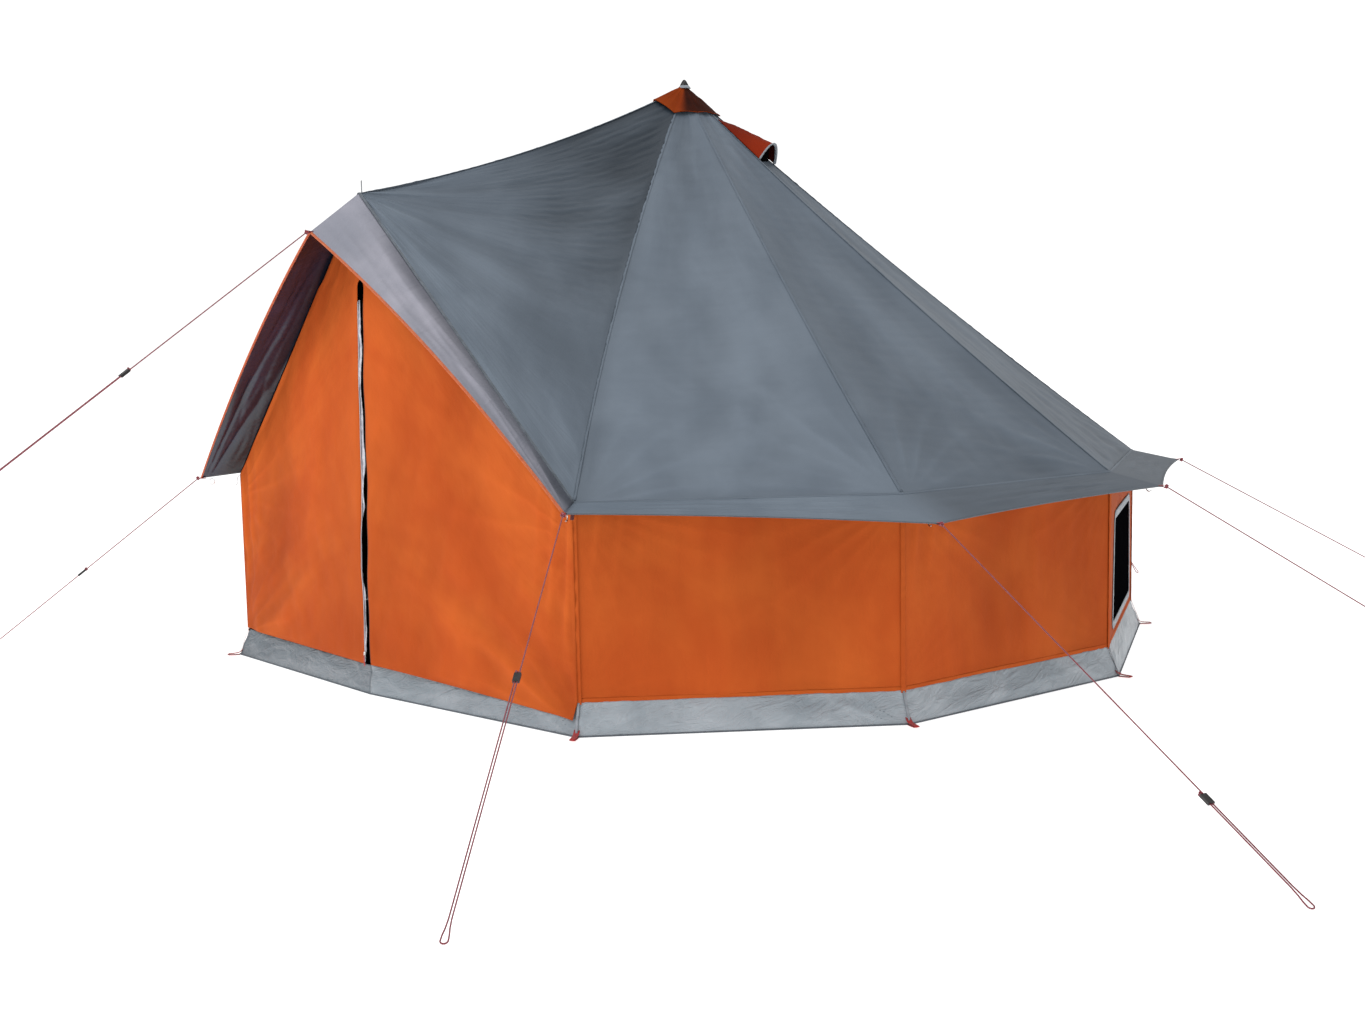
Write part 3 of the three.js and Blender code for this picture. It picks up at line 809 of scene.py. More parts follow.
# ---- roof ----
def gore_painted_shade(corner):
    """The gores' painted shade: the front ones are darkest near the ridge and the centre pole."""
    def shade(x, y, u, v):
        if corner == 0:
            down = 1 - u * (1 - v)
            return np.clip(1.0 - 0.62 * smooth(0.20, 0.85, down) - 0.24 * v * smooth(0.80, 1.0, down), 0, 1)
        if corner == 1:
            return 0.36 - 0.22 * smooth(0, 0.9, v) + 0.25 * np.exp(-(u / 0.05) ** 2) * v
        return 0.30 + 0.10 * smooth(0.6, 1.0, v) * u
    return shade


def gore_surface(from_corner, to_corner):
    def surface(u, v):
        share = GORE_START + v * (1 - GORE_START)
        a, b = on_seam(from_corner, share), on_seam(to_corner, share)
        point = lerp(a, b, u)
        middle = (u * (1 - u) * 4)[..., None]
        hang = (np.sin(math.pi * np.clip(v, 0, 1)) ** 0.8)[..., None]
        return point - middle * hang * np.array([0, 0, GORE_SAG])
    return surface


def gore_relief(width, length, seed):
    """Shallow drapes along the cloth, creases out of its three corners, small ripples across it."""
    def relief(x, y, u, v):
        edge = np.sin(math.pi * u) ** 0.5 * smooth(0, 0.06, v) * (1 - smooth(0.985, 1, v))
        across = (u - 0.5) * width * (0.15 + v)
        drapes = 0.0055 * ripple(across, y * 0.35, 0.55, seed)
        small = 0.0013 * ripple(across * 0.5, y * 2.2, 0.16, seed + 1)
        pulled = 0.0050 * crease(11 * u + 1.3 * np.sin(5 * v + seed))
        pulled = pulled * smooth(0.3, 0.9, u) * np.exp(-(v / 0.38) ** 2)
        low = (fan(across, y, (-width * 0.55, length), 11, 0.75, seed)
               + fan(across, y, (width * 0.55, length), 11, 0.75, seed + 3)) * 0.012
        return edge * (drapes + small + pulled) + low * np.sin(math.pi * u) ** 0.3
    return relief


def front_gore_surface(side):
    """A front gore drawn on rays from the peak, as its ripples run: u along a ray, v down the side seam."""
    plain = gore_surface(0, side)

    def surface(u, v):
        top, corner, peak = u * (1 - v), u * v, 1 - u
        across = corner / np.maximum(corner + peak, 1e-6)
        return plain(across, np.clip((1 - top - GORE_START) / (1 - GORE_START), 0, 1))
    return surface


def front_gore_relief(seed):
    """Fine ripples along the rays, broad drapes, and creases out of the eave's corner."""
    def relief(x, y, u, v):
        edge = smooth(0, 0.05, u) * (1 - smooth(0.97, 1, u)) * smooth(0, 0.03, v) * (1 - smooth(0.97, 1, v))
        fine = 0.0017 * ripple(0.20 * x, y, 0.062, seed, 2)
        fine = fine * smooth(0.2, 0.75, u) * (1 - 0.8 * smooth(0.35, 0.8, v))
        drapes = 0.0055 * ripple(0.7 * x, 0.8 * y, 0.60, seed + 1)
        low = 0.012 * fan(x, y, (2.40, 3.04), 12, 0.8, seed + 2.0)
        gable = 0.006 * crease(30 * v + 2.0 * np.sin(6 * u)) * smooth(0.90, 0.985, v) * smooth(0.5, 0.9, u)
        return edge * (fine + drapes + low + gable)
    return relief


def below_cap(columns, rows):
    """Leaves out the cells of a front gore that lie round the centre pole."""
    u = (columns[:-1] + columns[1:])[:, None] / 2
    v = (rows[:-1] + rows[1:])[None] / 2
    return u * (1 - v) < 0.975


def make_gore(name, from_corner, to_corner, seed):
    low_from, low_to = seam_end(from_corner), seam_end(to_corner)
    width = np.linalg.norm(low_from - low_to)
    length = np.linalg.norm(APEX - (low_from + low_to) / 2)
    settings = {"shade": gore_painted_shade(abs(from_corner)), "slot": "roof_fabric", "nodes": [name]}
    if from_corner == 0:
        seam = np.linalg.norm(APEX - low_to)
        piece = cloth(f"cloth_{name}", front_gore_surface(to_corner), (width, seam), (0, 0, 1),
                      [SLATE_FRONT, CHARCOAL], front_gore_relief(seed), mask=below_cap,
                      columns=np.linspace(0.004, 1, 130), rows=np.linspace(0, 1, 260), **settings)
    else:
        piece = cloth(f"cloth_{name}", gore_surface(from_corner, to_corner), (width, length), (0, 0, 1),
                      [SLATE, CHARCOAL], gore_relief(width, length, seed), **settings)


def strip(name, path, width, outside, materials, lift=0.0012, thickness=0.0010, slot=None,
          pucker=0.0008, seed=1, shade=0.0):
    """A narrow band of cloth sewn along a path; outside points away from the cloth below it, and shade is
    its painted shade, as on the cloth round it.
    """
    path = np.asarray(path, float)
    along = np.concatenate([[0], np.cumsum(np.linalg.norm(np.diff(path, axis=0), axis=1))])
    share = along / along[-1]
    tangent = np.gradient(path, axis=0)
    tangent /= np.linalg.norm(tangent, axis=1, keepdims=True)
    outside = np.broadcast_to(np.asarray(outside, float), path.shape)
    side = np.cross(tangent, outside)
    side /= np.linalg.norm(side, axis=1, keepdims=True)
    up = np.cross(side, tangent)

    def blend(v, values):
        return np.stack([np.interp(v, share, values[:, k]) for k in range(3)], -1)

    def surface(u, v):
        crown = (lift + 0.0006 * np.sin(math.pi * u))[..., None]
        return blend(v, path) + blend(v, side) * ((u - 0.5) * width)[..., None] + blend(v, up) * crown

    def relief(x, y, u, v):
        return pucker * ripple(x * 0.5, y, 0.05, seed, 2) * np.sin(math.pi * np.clip(u, 0.08, 0.92))

    return cloth(name, surface, (width, along[-1]), outside.mean(0), materials, relief,
                 columns=np.linspace(0, 1, 5), rows=np.linspace(0, 1, max(4, round(along[-1] / 0.02))),
                 thickness=thickness, shade=lambda x, y, u, v: shade + 0 * u, slot=slot)


def gore_normal(corner):
    """Roughly outwards and up from the roof seam of a corner."""
    if corner == 0:
        return np.array([0, -0.3, 0.95])
    return polar(0.65, corner * STEP, 0.76)


def make_roof():
    for side, sign in (("right", 1), ("left", -1)):
        make_gore(f"roof_gore_front_{side}", 0, sign, 11 + sign)
        for corner in range(1, 5):
            seed = 20 + 3 * corner + sign
            make_gore(f"roof_gore_{side}_{corner}", sign * corner, sign * (corner + 1), seed)
    make_gore("roof_gore_back", 5, -5, 50)
    share = np.linspace(0.03, 0.995, 120)
    for corner in [0, *CORNERS]:
        label = "ridge" if corner == 0 else name_of(corner)
        # painted shade on the seams, as on the gores beside them
        strip(f"roof_seam_{label}", on_seam(corner, share), ROOF_SEAM_WIDTH, gore_normal(corner), [SLATE],
              lift=0.0004, slot="roof_fabric", pucker=0.0014, seed=corner + 70, shade=0.33)


# ---- valance below the roof ----
def make_valance():
    stations = np.array([wall_top(c) for c in CORNERS])
    edges = np.array([eave(c) for c in CORNERS])
    spans = len(CORNERS) - 1
    per_span = 90
    columns = np.linspace(0, 1, spans * per_span + 1)

    def surface(u, v):
        place = np.clip(u * spans, 0, spans - 1e-9)
        k = place.astype(int)
        t = (place - k)[..., None]
        top = stations[k] * (1 - t) + stations[k + 1] * t
        low = edges[k] * (1 - t) + edges[k + 1] * t
        belly = 4 * t * (1 - t)
        low = low + belly * np.array([0, 0, 0.006]) - belly * low * [0.008, 0.008, 0]
        point = top * (1 - v[..., None]) + low * v[..., None]
        return point + 0.006 * (np.sin(math.pi * v) * np.sin(math.pi * t[..., 0]))[..., None] * [0, 0, 1]

    def relief(x, y, u, v):
        place = u * spans
        whole = np.floor(place)
        t = place - whole
        bend = 2.2 * np.sin(2 * math.pi * (t + 0.13 * whole) + 1.5 * v)
        depth = 0.0035 + 0.0060 * (place < 1)
        run = depth * crease(26 * v + bend + 9 * t) * smooth(0.1, 0.7, t)
        drape = 0.004 * ripple(x, y * 6, 0.5, 91)
        return (run + drape) * np.sin(math.pi * t) * np.sin(math.pi * np.clip(v, 0, 0.93)) ** 0.7

    girth = 2 * EAVE_R * math.sin(STEP / 2) * spans
    # painted shade: darker from the second span on, all the way round, and a little darker towards the lower
    # edge
    piece = cloth("cloth_valance", surface, (girth, VALANCE_WIDTH), (0, 0, 1), [SLATE, CHARCOAL], relief,
                  columns=columns, rows=np.linspace(0, 1, 25), slot="roof_fabric", nodes=["eave_valance"],
                  shade=lambda x, y, u, v: 0.55 * smooth(0.95, 1.15, u * spans) + 0.05 * v)
    edge = surface(columns, np.ones_like(columns))
    tube("valance_hem", edge, 0.0038, DARK_TAPE, 8, flatten=0.7)
    top = surface(columns, np.zeros_like(columns))
    outward = top * [1, 1, 0]
    outward = outward / np.linalg.norm(outward, axis=1, keepdims=True) * 0.6 + [0, 0, 0.8]
    # painted shade on the seam, as on the valance beside it
    strip("valance_seam", top + [0, 0, 0.001], VALANCE_SEAM_WIDTH, outward, [SLATE], slot="roof_fabric",
          shade=0.25)


# ---- awnings ----
def awning_surface(side):
    foot, edge_end = wall_top(side), eave(side)

    def surface(u, v):
        seam = lerp(PEAK, foot, v)
        edge = lerp(AWNING_TIP, edge_end, v)
        bulge = 4 * v * (1 - v)
        edge = edge + bulge[..., None] * np.array([side * 0.010, 0, 0.055])
        point = seam * (1 - u[..., None]) + edge * u[..., None]
        return point + (0.012 * np.sin(math.pi * u) * np.sin(math.pi * v))[..., None] * [0, 0, 1]
    return surface


def make_awning(side, word):
    surface = awning_surface(side)
    length = np.linalg.norm(eave(side) - AWNING_TIP)
    depth, reach = (0.020, 1.5) if side < 0 else (0.009, 1.0)

    def relief(x, y, u, v):
        inside = np.sin(math.pi * np.clip(u, 0, 0.97)) ** 0.6 * smooth(0, 0.06, v) * (1 - smooth(0.94, 1, v))
        # broad folds that leave the low corner and run out at the gable seam
        run = (1.03 - v) * length
        across = 0.285 - x
        folds = crease(6.4 * np.arctan2(across, 0.25 * run + 0.02) + 0.5 * np.sin(4 * v + side))
        taut = 0.006 * crease(2.6 * math.pi * u + 0.9 * np.sin(3.0 * math.pi * v + side) + 2 * v)
        small = 0.005 * ripple(x * 1.4, y * 0.4, 0.3, 33 + side)
        return inside * (depth * folds * np.exp(-(run / reach) ** 2) + taut * np.sin(math.pi * v) + small)

    # painted shade: darker beside the gable seam below the peak, and towards the low end
    def shade(x, y, u, v):
        beside_seam = 1 - smooth(0.05, 0.35 + 0.5 * v, u)
        return 0.75 * beside_seam * smooth(0.0, 0.3, v) + 0.45 * smooth(0.80, 1.0, v)

    piece = cloth(f"cloth_awning_{word}", surface, (AWNING_WIDTH, length), (side * 0.7, 0, 0.7),
                  [SLATE_LIT_FOLDED, CHARCOAL], relief, spacing=0.010, shade=shade, slot="roof_fabric",
                  nodes=[f"awning_{word}"])
    share = np.linspace(0, 1, 160)
    edge = surface(np.ones_like(share), share)
    tube(f"awning_binding_{word}", edge, 0.0075, ORANGE_TAPE, 10, flatten=0.45,
         across=np.array([side * -0.45, -0.8, 0.1]))
    groove = surface(np.zeros_like(share), share)
    strip(f"gable_seam_{word}", groove, GABLE_SEAM_WIDTH, (side * 0.7, -0.1, 0.7), [DARK_TAPE], lift=0.003,
          slot="roof_fabric", seed=81 + side)


# ---- cap and vent hood ----
def make_cap():
    stations = [0, *CORNERS, 0]
    spans = len(stations) - 1
    front_edge, edge = 0.225 / -PEAK[1], 0.186 / WALL_R

    def rim(share):
        down = [share * (front_edge if c == 0 else edge) for c in stations]
        return np.array([on_seam(c, d) for c, d in zip(stations, down)])

    def surface(u, v):
        place = np.clip(u * spans, 0, spans - 1e-9)
        k = place.astype(int)
        t = place - k
        low, high = rim(1.0), rim(0.075)
        a = high[k] * (1 - t)[..., None] + high[k + 1] * t[..., None]
        b = low[k] * (1 - t)[..., None] + low[k + 1] * t[..., None]
        point = a * (1 - v[..., None]) + b * v[..., None]
        round_up = 0.006 * np.sin(math.pi * t) * v
        return point + np.array([0, 0, 0.012]) + round_up[..., None] * [0, 0, 1]

    def relief(x, y, u, v):
        taper = np.sin(math.pi * np.clip(v, 0, 0.9))
        return taper * (0.003 * crease(70 * u + 2 * np.sin(17 * u)) + 0.0022 * ripple(x, y * 0.6, 0.09, 14))

    # painted shade on the cap's right side and back, fading out towards the left front
    def shade(x, y, u, v):
        return smooth(0.10, 0.15, u) * (1 - smooth(0.62, 0.8, u)) * 0.9

    columns = np.linspace(0, 1, 12 * 24 + 1)
    rows = np.linspace(0, 1, 26)
    piece = cloth("cloth_roof_cap", surface, (1.36, 0.235), (0, 0, 1), [CAP, CHARCOAL], relief,
                  columns=columns, rows=rows, shade=shade, slot="cap_fabric", nodes=["roof_cap"])
    hem = surface(columns, np.ones_like(columns))
    tube("cap_hem", hem, 0.0035, CAP, 8, flatten=0.6)
    collar = [(0.0, -0.008), (0.034, -0.008), (0.031, 0.000), (0.023, 0.007), (0.0, 0.007)]
    spin("cap_collar", collar, APEX, GREY_TAPE)
    tip = [(0.0, 0.002), (0.023, 0.002), (0.0225, 0.010), (0.013, 0.028), (0.006, 0.037), (0.0, 0.039)]
    spin("pole_tip", tip, APEX, BLACK)


def make_hood(from_corner, to_corner):
    crown, reach, lift = 0.088, 0.038, 0.006
    outward = facing(from_corner, to_corner)

    def surface(u, v):
        radius = HOOD_START + v * (HOOD_END - HOOD_START)
        left = on_seam(from_corner, radius / WALL_R)
        right = on_seam(to_corner, radius / WALL_R)
        point = left * (1 - u[..., None]) + right * u[..., None]
        arch = np.sin(math.pi * u) ** 0.75 * v ** 0.9
        return point + (arch * reach)[..., None] * outward + (arch * crown + lift)[..., None] * [0, 0, 1]

    def relief(x, y, u, v):
        pull = 0.004 * crease(16 * u + 1.5 * np.sin(6 * v)) + 0.003 * ripple(x, y, 0.11, 61)
        return np.sin(math.pi * np.clip(u, 0.02, 0.98)) * np.sin(math.pi * np.clip(v, 0, 0.95)) * pull

    # painted shade on the hood, darker towards the cap
    piece = cloth("cloth_vent_hood", surface, (0.30, 0.34), (0, 0, 1), [HOOD, HOOD_LINING], relief,
                  spacing=0.006, shade=lambda x, y, u, v: 0.5 * (1 - v), slot="cap_fabric",
                  nodes=["vent_hood"])
    u = np.linspace(0, 1, 60)
    edge = surface(u, np.ones_like(u))
    tube("hood_trim", edge, 0.0085, GREY_TAPE, 10, flatten=0.5)
    # dark netting closes the vent below the hood's arch
    low = [on_seam(c, (HOOD_END - 0.030) / WALL_R) - [0, 0, 0.028] for c in (from_corner, to_corner)]

    def netting(u, v):
        base = low[0] * (1 - u[..., None]) + low[1] * u[..., None]
        top = surface(0.04 + 0.92 * u, np.full_like(u, 0.86)) - [0, 0, 0.004]
        return base * (1 - v[..., None]) + top * v[..., None]

    net = cloth("vent_netting", netting, (0.26, 0.10), outward + [0, 0, 0.2], [GAUZE], spacing=0.012,
                thickness=THIN_CLOTH, slot="window_gauze")


# ---- upright walls and windows ----
def wall_point(from_corner, to_corner, x, z):
    """Points on a side wall: x along it from one corner, z above the ground."""
    start, end = wall_foot(from_corner), wall_foot(to_corner)
    along = (end - start) / np.linalg.norm(end - start)
    point = start + along * np.asarray(x)[..., None]
    point[..., 2] = z
    return point


def wall_relief(width, height, seed):
    """Long soft drapes, creases out of the four corners and gathers below the roof seam."""
    def relief(x, y, u, v):
        edge = np.sin(math.pi * np.clip(u, 0, 1)) ** 0.45 * smooth(0, 0.05, v) * (1 - smooth(0.97, 1, v))
        drapes = 0.0055 * ripple(x, y * 0.25, 0.75, seed) + 0.0016 * ripple(x * 1.5, y * 0.5, 0.2, seed + 1)
        fans = 0.0
        for end, high_seed, low_seed in ((-0.02, seed, seed + 2), (width + 0.02, seed + 4, seed + 5)):
            fans = fans + 0.010 * fan(x, y, (end, height), 17, 0.42, high_seed)
            fans = fans + 0.008 * fan(x, y, (end, 0), 15, 0.30, low_seed)
        gathers = 0.0022 * crease(52 * x + 2.5 * np.sin(7 * x)) * smooth(0.80, 0.98, v)
        slack = 0.0240 * crease(34 * x - 3.5 * v) * np.exp(-(x / 0.20) ** 2) * smooth(0.35, 0.95, v)
        return edge * (drapes + fans + gathers + slack - 0.010 * np.sin(math.pi * u) * np.sin(math.pi * v))
    return relief


def wall_painted_shade(rank, u, v):
    """A wall's painted shade: darker below the eave, at the foot and towards the back."""
    turned = {1: 0.0, 2: 0.22 * smooth(0.3, 1.0, u)}.get(rank, 0.25)
    return 0.12 + turned + 0.26 * smooth(0.86, 1.0, v) + 0.08 * (1 - smooth(0, 0.1, v))


def joined(stops, counts):
    """Evenly spaced values from each stop to the next, with that many in each stretch."""
    parts = [np.linspace(a, b, count) for a, b, count in zip(stops, stops[1:], counts)]
    return np.concatenate([parts[0], *(part[1:] for part in parts[1:])])


def make_wall(name, from_corner, to_corner, seed, window=False):
    width = np.linalg.norm(wall_foot(from_corner) - wall_foot(to_corner))
    height = WALL_H - TUB_H
    low, high = (WINDOW_LOW - TUB_H) / height, (WINDOW_HIGH - TUB_H) / height
    left, right = WINDOW_START / width, WINDOW_END / width

    def surface(u, v):
        z = TUB_H + v * height
        shift = WINDOW_TAPER * np.clip((z - WINDOW_LOW) / (WINDOW_HIGH - WINDOW_LOW), 0, 1) * window
        first, last = WINDOW_START + shift, WINDOW_END - shift
        before = u / left * first
        between = first + (u - left) / (right - left) * (last - first)
        after = width - (1 - u) / (1 - right) * (width - last)
        x = np.where(u < left, before, np.where(u > right, after, between))
        return wall_point(from_corner, to_corner, x, z)

    def outside_window(columns, rows):
        u = (columns[:-1] + columns[1:])[:, None] / 2
        v = (rows[:-1] + rows[1:])[None] / 2
        return ~((u > left) & (u < right) & (v > low) & (v < high))

    folds = wall_relief(width, height, seed)
    strength = 0.35 if window else 1.0
    out = facing(from_corner, to_corner)
    piece = cloth(f"cloth_{name}", surface, (width, height), out, [ORANGE, ORANGE_LINING],
                  lambda x, y, u, v: strength * folds(x, y, u, v),
                  mask=outside_window if window else None, columns=joined((0, left, right, 1), (14, 70, 14)),
                  rows=joined((0, low, high, 1), (6, 38, 18)), slot="wall_fabric", nodes=[name],
                  shade=lambda x, y, u, v: wall_painted_shade(abs(from_corner), u, v))
    if window:
        make_window(name, from_corner, to_corner, out)


def rounded_outline(corners, radius):
    """A closed outline through the corners, each rounded off from that distance on."""
    path = []
    for k, here in enumerate(corners):
        before, after = corners[k - 1], corners[(k + 1) % len(corners)]
        a = here + (before - here) / np.linalg.norm(before - here) * radius
        b = here + (after - here) / np.linalg.norm(after - here) * radius
        end = after + (here - after) / np.linalg.norm(here - after) * radius
        path += [a * (1 - t) ** 2 + 2 * here * t * (1 - t) + b * t ** 2 for t in np.linspace(0, 1, 7)]
        path += [b + (end - b) * t for t in np.linspace(0, 1, 20)[1:-1]]
    return np.array([*path, path[0]])


def make_window(wall, from_corner, to_corner, out):
    def outline(x, z):
        return wall_point(from_corner, to_corner, np.asarray(x, float), np.asarray(z, float))

    def surface(u, v):
        z = WINDOW_LOW + v * (WINDOW_HIGH - WINDOW_LOW)
        shift = WINDOW_TAPER * v
        x = WINDOW_START + shift + u * (WINDOW_END - WINDOW_START - 2 * shift)
        return outline(x, z) - out * 0.004

    def relief(x, y, u, v):
        inside = np.sin(math.pi * u) ** 0.5 * np.sin(math.pi * v) ** 0.5
        return inside * (0.004 * ripple(x, y, 0.4, 120) + 0.003 * crease(9 * y + 5 * x))

    size = (WINDOW_END - WINDOW_START, WINDOW_HIGH - WINDOW_LOW)
    node = wall.replace("wall", "window_mesh")
    net = cloth(f"gauze_{node}", surface, size, out, [GAUZE], relief, thickness=THIN_CLOTH,
                slot="window_gauze", nodes=[node])
    corners = np.array([(WINDOW_START, WINDOW_LOW), (WINDOW_END, WINDOW_LOW),
                        (WINDOW_END - WINDOW_TAPER, WINDOW_HIGH),
                        (WINDOW_START + WINDOW_TAPER, WINDOW_HIGH)])
    path = rounded_outline(corners, WINDOW_ROUNDING)
    strip(f"window_binding_{node}", outline(path[:, 0], path[:, 1]), WINDOW_BINDING_WIDTH, out, [GREY_TAPE],
          lift=0.004, slot="wall_fabric", seed=130, thickness=0.002)


def make_walls():
    for side, sign in (("right", 1), ("left", -1)):
        for corner in range(1, 5):
            seed = 200 + 7 * corner + sign
            make_wall(f"wall_{side}_{corner}", sign * corner, sign * (corner + 1), seed, window=corner == 3)
    make_wall("wall_back", 5, -5, 260)
    for corner in CORNERS:
        z = np.linspace(TUB_H - 0.01, WALL_H - 0.02, 50)
        path = np.array([polar(WALL_R + 0.001, corner * STEP, height) for height in z])
        # painted shade on the seams, as on the walls beside them
        strip(f"wall_seam_{name_of(corner)}", path, WALL_SEAM_WIDTH, outward_at(corner), [ORANGE],
              lift=0.0010, slot="wall_fabric", pucker=0.0024, seed=300 + corner, shade=0.22)
    # the hem where the walls are sewn to the tub
    stations = [wall_foot(c) for c in CORNERS]
    path = np.concatenate([lerp(a, b, np.linspace(0, 1, 60)[:-1]) for a, b in zip(stations, stations[1:])])
    outward = path * [1, 1, 0] / np.linalg.norm(path[:, :2], axis=1, keepdims=True)
    # painted shade on the hem, as on the walls above it
    strip("wall_hem", path + [0, 0, 0.006], WALL_HEM_WIDTH, outward, [ORANGE], lift=0.0010,
          slot="wall_fabric", pucker=0.0014, shade=0.22)


# ---- front wall, doors and zip ----
FRONT_WIDTH = wall_top(1)[0]
LOOSE_CORNER = 0.076          # how far the right half's loose corner hangs down over the tub


def zip_edge(side, z):
    """How far each half's edge stands from the middle; below the zip's top the two are apart."""
    opening = 1 - smooth(ZIP_TOP - 0.022, ZIP_TOP, z)
    wander = 0.0045 * np.sin(7.0 * z + 1.0) + 0.0025 * np.sin(21.0 * z)
    if side > 0:
        return opening * (0.021 + wander)
    wide = smooth(0.45, 0.60, z) * (1 - smooth(0.70, 0.84, z))
    return opening * (0.024 - 0.6 * wander + 0.012 * wide)


def make_front(side, word):
    bottom = DOOR_FOOT[1]
    top_middle, top_corner = PEAK[2] - 0.012, WALL_H - 0.008
    dip = LOOSE_CORNER if side > 0 else 0.0

    def surface(u, v):
        high = top_middle + (top_corner - top_middle) * u - 0.018 * np.sin(math.pi * np.clip(u, 0, 1))
        low = bottom - dip * u ** 1.2
        z = low + v * (high - low)
        x0 = zip_edge(side, z)
        x = x0 + u * (FRONT_WIDTH - x0)
        point = on_front(side, x, z)
        # the outer edge meets the side wall's corner, and hangs outside the tub below it
        corner_y = wall_top(1)[1] - 0.008 - 0.42 * np.maximum(TUB_H - z, 0)
        point[..., 1] += smooth(0.86, 1.0, u) * (corner_y - point[..., 1])
        return point

    def relief(x, y, u, v):
        z = bottom + v * (top_middle - bottom) * (1 - u * 0.55)
        edge = smooth(0, 0.03, u) * (1 - smooth(0.97, 1, u)) * smooth(0, 0.02, v) * (1 - smooth(0.97, 1, v))
        soft = 0.007 * ripple(x, z * 0.35, 0.8, 400 + side)
        soft = soft + 0.0014 * ripple(x + 0.6 * z, z - x, 0.19, 410 + side)
        fans = (0.008 * fan(x, z, (FRONT_WIDTH + 0.02, WALL_H), 9, 0.60, 5.0 + side)
                + 0.010 * fan(x, z, (FRONT_WIDTH + 0.02, 0.10), 11, 0.80, 7.5 + side)
                + 0.007 * fan(x, z, (0, 2.24), 14, 0.60, 3.0 + side))
        pulls = 0.0042 * ripple(0.6 * x + 0.8 * z, 0.12 * (0.8 * x - 0.6 * z), 0.20, 420 + side, 2)
        soft = soft + pulls * smooth(0.2, 0.6, u) * (1 - smooth(0.55, 0.85, z / WALL_H))
        from_eave = FRONT_WIDTH - x
        soft = soft + (0.0230 * crease(36 * from_eave + 2.5 * z) * np.exp(-(from_eave / 0.15) ** 2)
                       * smooth(0.35, 0.85, z / WALL_H))
        beside_zip = 0.0030 * np.sin(11 * z + 2 * np.sin(5 * z)) * np.exp(-x / 0.06)
        return edge * (soft + fans) + beside_zip * smooth(0, 0.02, u)

    length = top_middle - bottom
    # painted shade: lighter towards the top and a little darker at the outer corner
    piece = cloth(f"cloth_front_{word}", surface, (FRONT_WIDTH, length), (0, -1, 0), [ORANGE, ORANGE_LINING],
                  relief, spacing=0.013, body=None, slot="wall_fabric",
                  nodes=[f"front_wall_{word}", f"door_{word}"],
                  shade=lambda x, y, u, v: 0.30 - 0.22 * smooth(0.25, 0.85, v) + 0.06 * smooth(0.9, 1, u))
    low, high = on_front(side, *DOOR_FOOT), on_front(side, 0, ZIP_TOP)
    along = (high - low) / np.linalg.norm(high - low)
    into_door = np.cross(along, [0, -1, 0]) * -side
    into_door /= np.linalg.norm(into_door)
    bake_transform(piece)
    # the zip's coil along the edge
    z = np.linspace(0.150, ZIP_TOP - 0.10, 260)
    edge = on_front(side, zip_edge(side, z) - 0.0015, z)
    tube(f"zip_coil_{word}", edge + [0, 0.002, 0], 0.0022, ZIP_TAPE if side < 0 else BLACK, 8,
         body=f"{word}_door")


def make_storm_strip():
    """The light strip behind the zip: it shows beside the left half's edge, wide and narrow in turn."""
    low, high = 0.165, 1.774

    def surface(u, v):
        z = low + v * (high - low)
        shown = 0.022 * smooth(0.80, 0.86, z) + 0.016 * (1 - smooth(0.47, 0.52, z)) * smooth(0.16, 0.2, z)
        shown = shown * (0.80 + 0.28 * np.sin(13 * z) + 0.15 * np.sin(31 * z))
        edge = -zip_edge(-1, z)
        x = edge - 0.030 + u * (0.030 + np.maximum(shown, 0))
        point = on_front(1, 0 * x, z)
        point[..., 0] = x
        point[..., 1] += 0.005 + FRONT_SPLAY * np.abs(x)
        return point

    def relief(x, y, u, v):
        return 0.0035 * u * np.sin(17 * y + 2 * np.sin(9 * y)) + 0.001 * ripple(x, y, 0.06, 430)

    size = (STORM_STRIP_WIDTH, high - low)
    piece = cloth("storm_strip", surface, size, (0, -1, 0), [ZIP_TAPE], relief, columns=np.linspace(0, 1, 7),
                  rows=np.linspace(0, 1, 240), body="left_door", slot="wall_fabric")


def make_zip_slider():
    """A zip slider with a bridge and a red pull, where the frame's slider is."""
    low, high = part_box("zip_slider")
    centre = (np.array(low) + np.array(high)) / 2
    top = high.z - 0.013
    body = [(-0.0065, 0.010), (-0.0040, 0.013), (0.0040, 0.013), (0.0065, 0.010), (0.0045, -0.010),
            (0.0028, -0.013), (-0.0028, -0.013), (-0.0045, -0.010)]
    points = [(centre[0] + x, y, top + z) for y in (high.y - 0.007, high.y) for x, z in body]
    count = len(body)
    faces = [tuple(range(count)), tuple(reversed(range(count, 2 * count)))]
    faces += [(k, k + count, (k + 1) % count + count, (k + 1) % count) for k in range(count)]
    slider = new_object("slider_body", np.array(points), faces, [ZIP_METAL], uv=np.array(points)[:, [0, 2]],
                        flat_faces=range(len(faces)))
    bevel = slider.modifiers.new("rounded", "BEVEL")
    bevel.width = 0.0012
    bevel.segments = 3
    settle(slider, "zip_pull", ["zip_slider"])
    front = high.y - 0.009
    bridge = [(centre[0], front + 0.003, top + 0.009), (centre[0], front, top + 0.006),
              (centre[0], front, top - 0.004), (centre[0], front + 0.003, top - 0.008)]
    tube("slider_bridge", bridge, 0.0016, ZIP_METAL, 8, body="zip_pull")
    pull = [(centre[0], front, top - 0.002), (centre[0], front - 0.001, top - 0.014),
            (centre[0] + 0.001, front, low.z + 0.008), (centre[0] + 0.001, front, low.z)]
    tube("slider_pull", pull, [0.0032, 0.0040, 0.0044, 0.0036], RED_WEBBING, 12, flatten=0.35,
         across=np.array([1.0, 0, 0]), body="zip_pull")


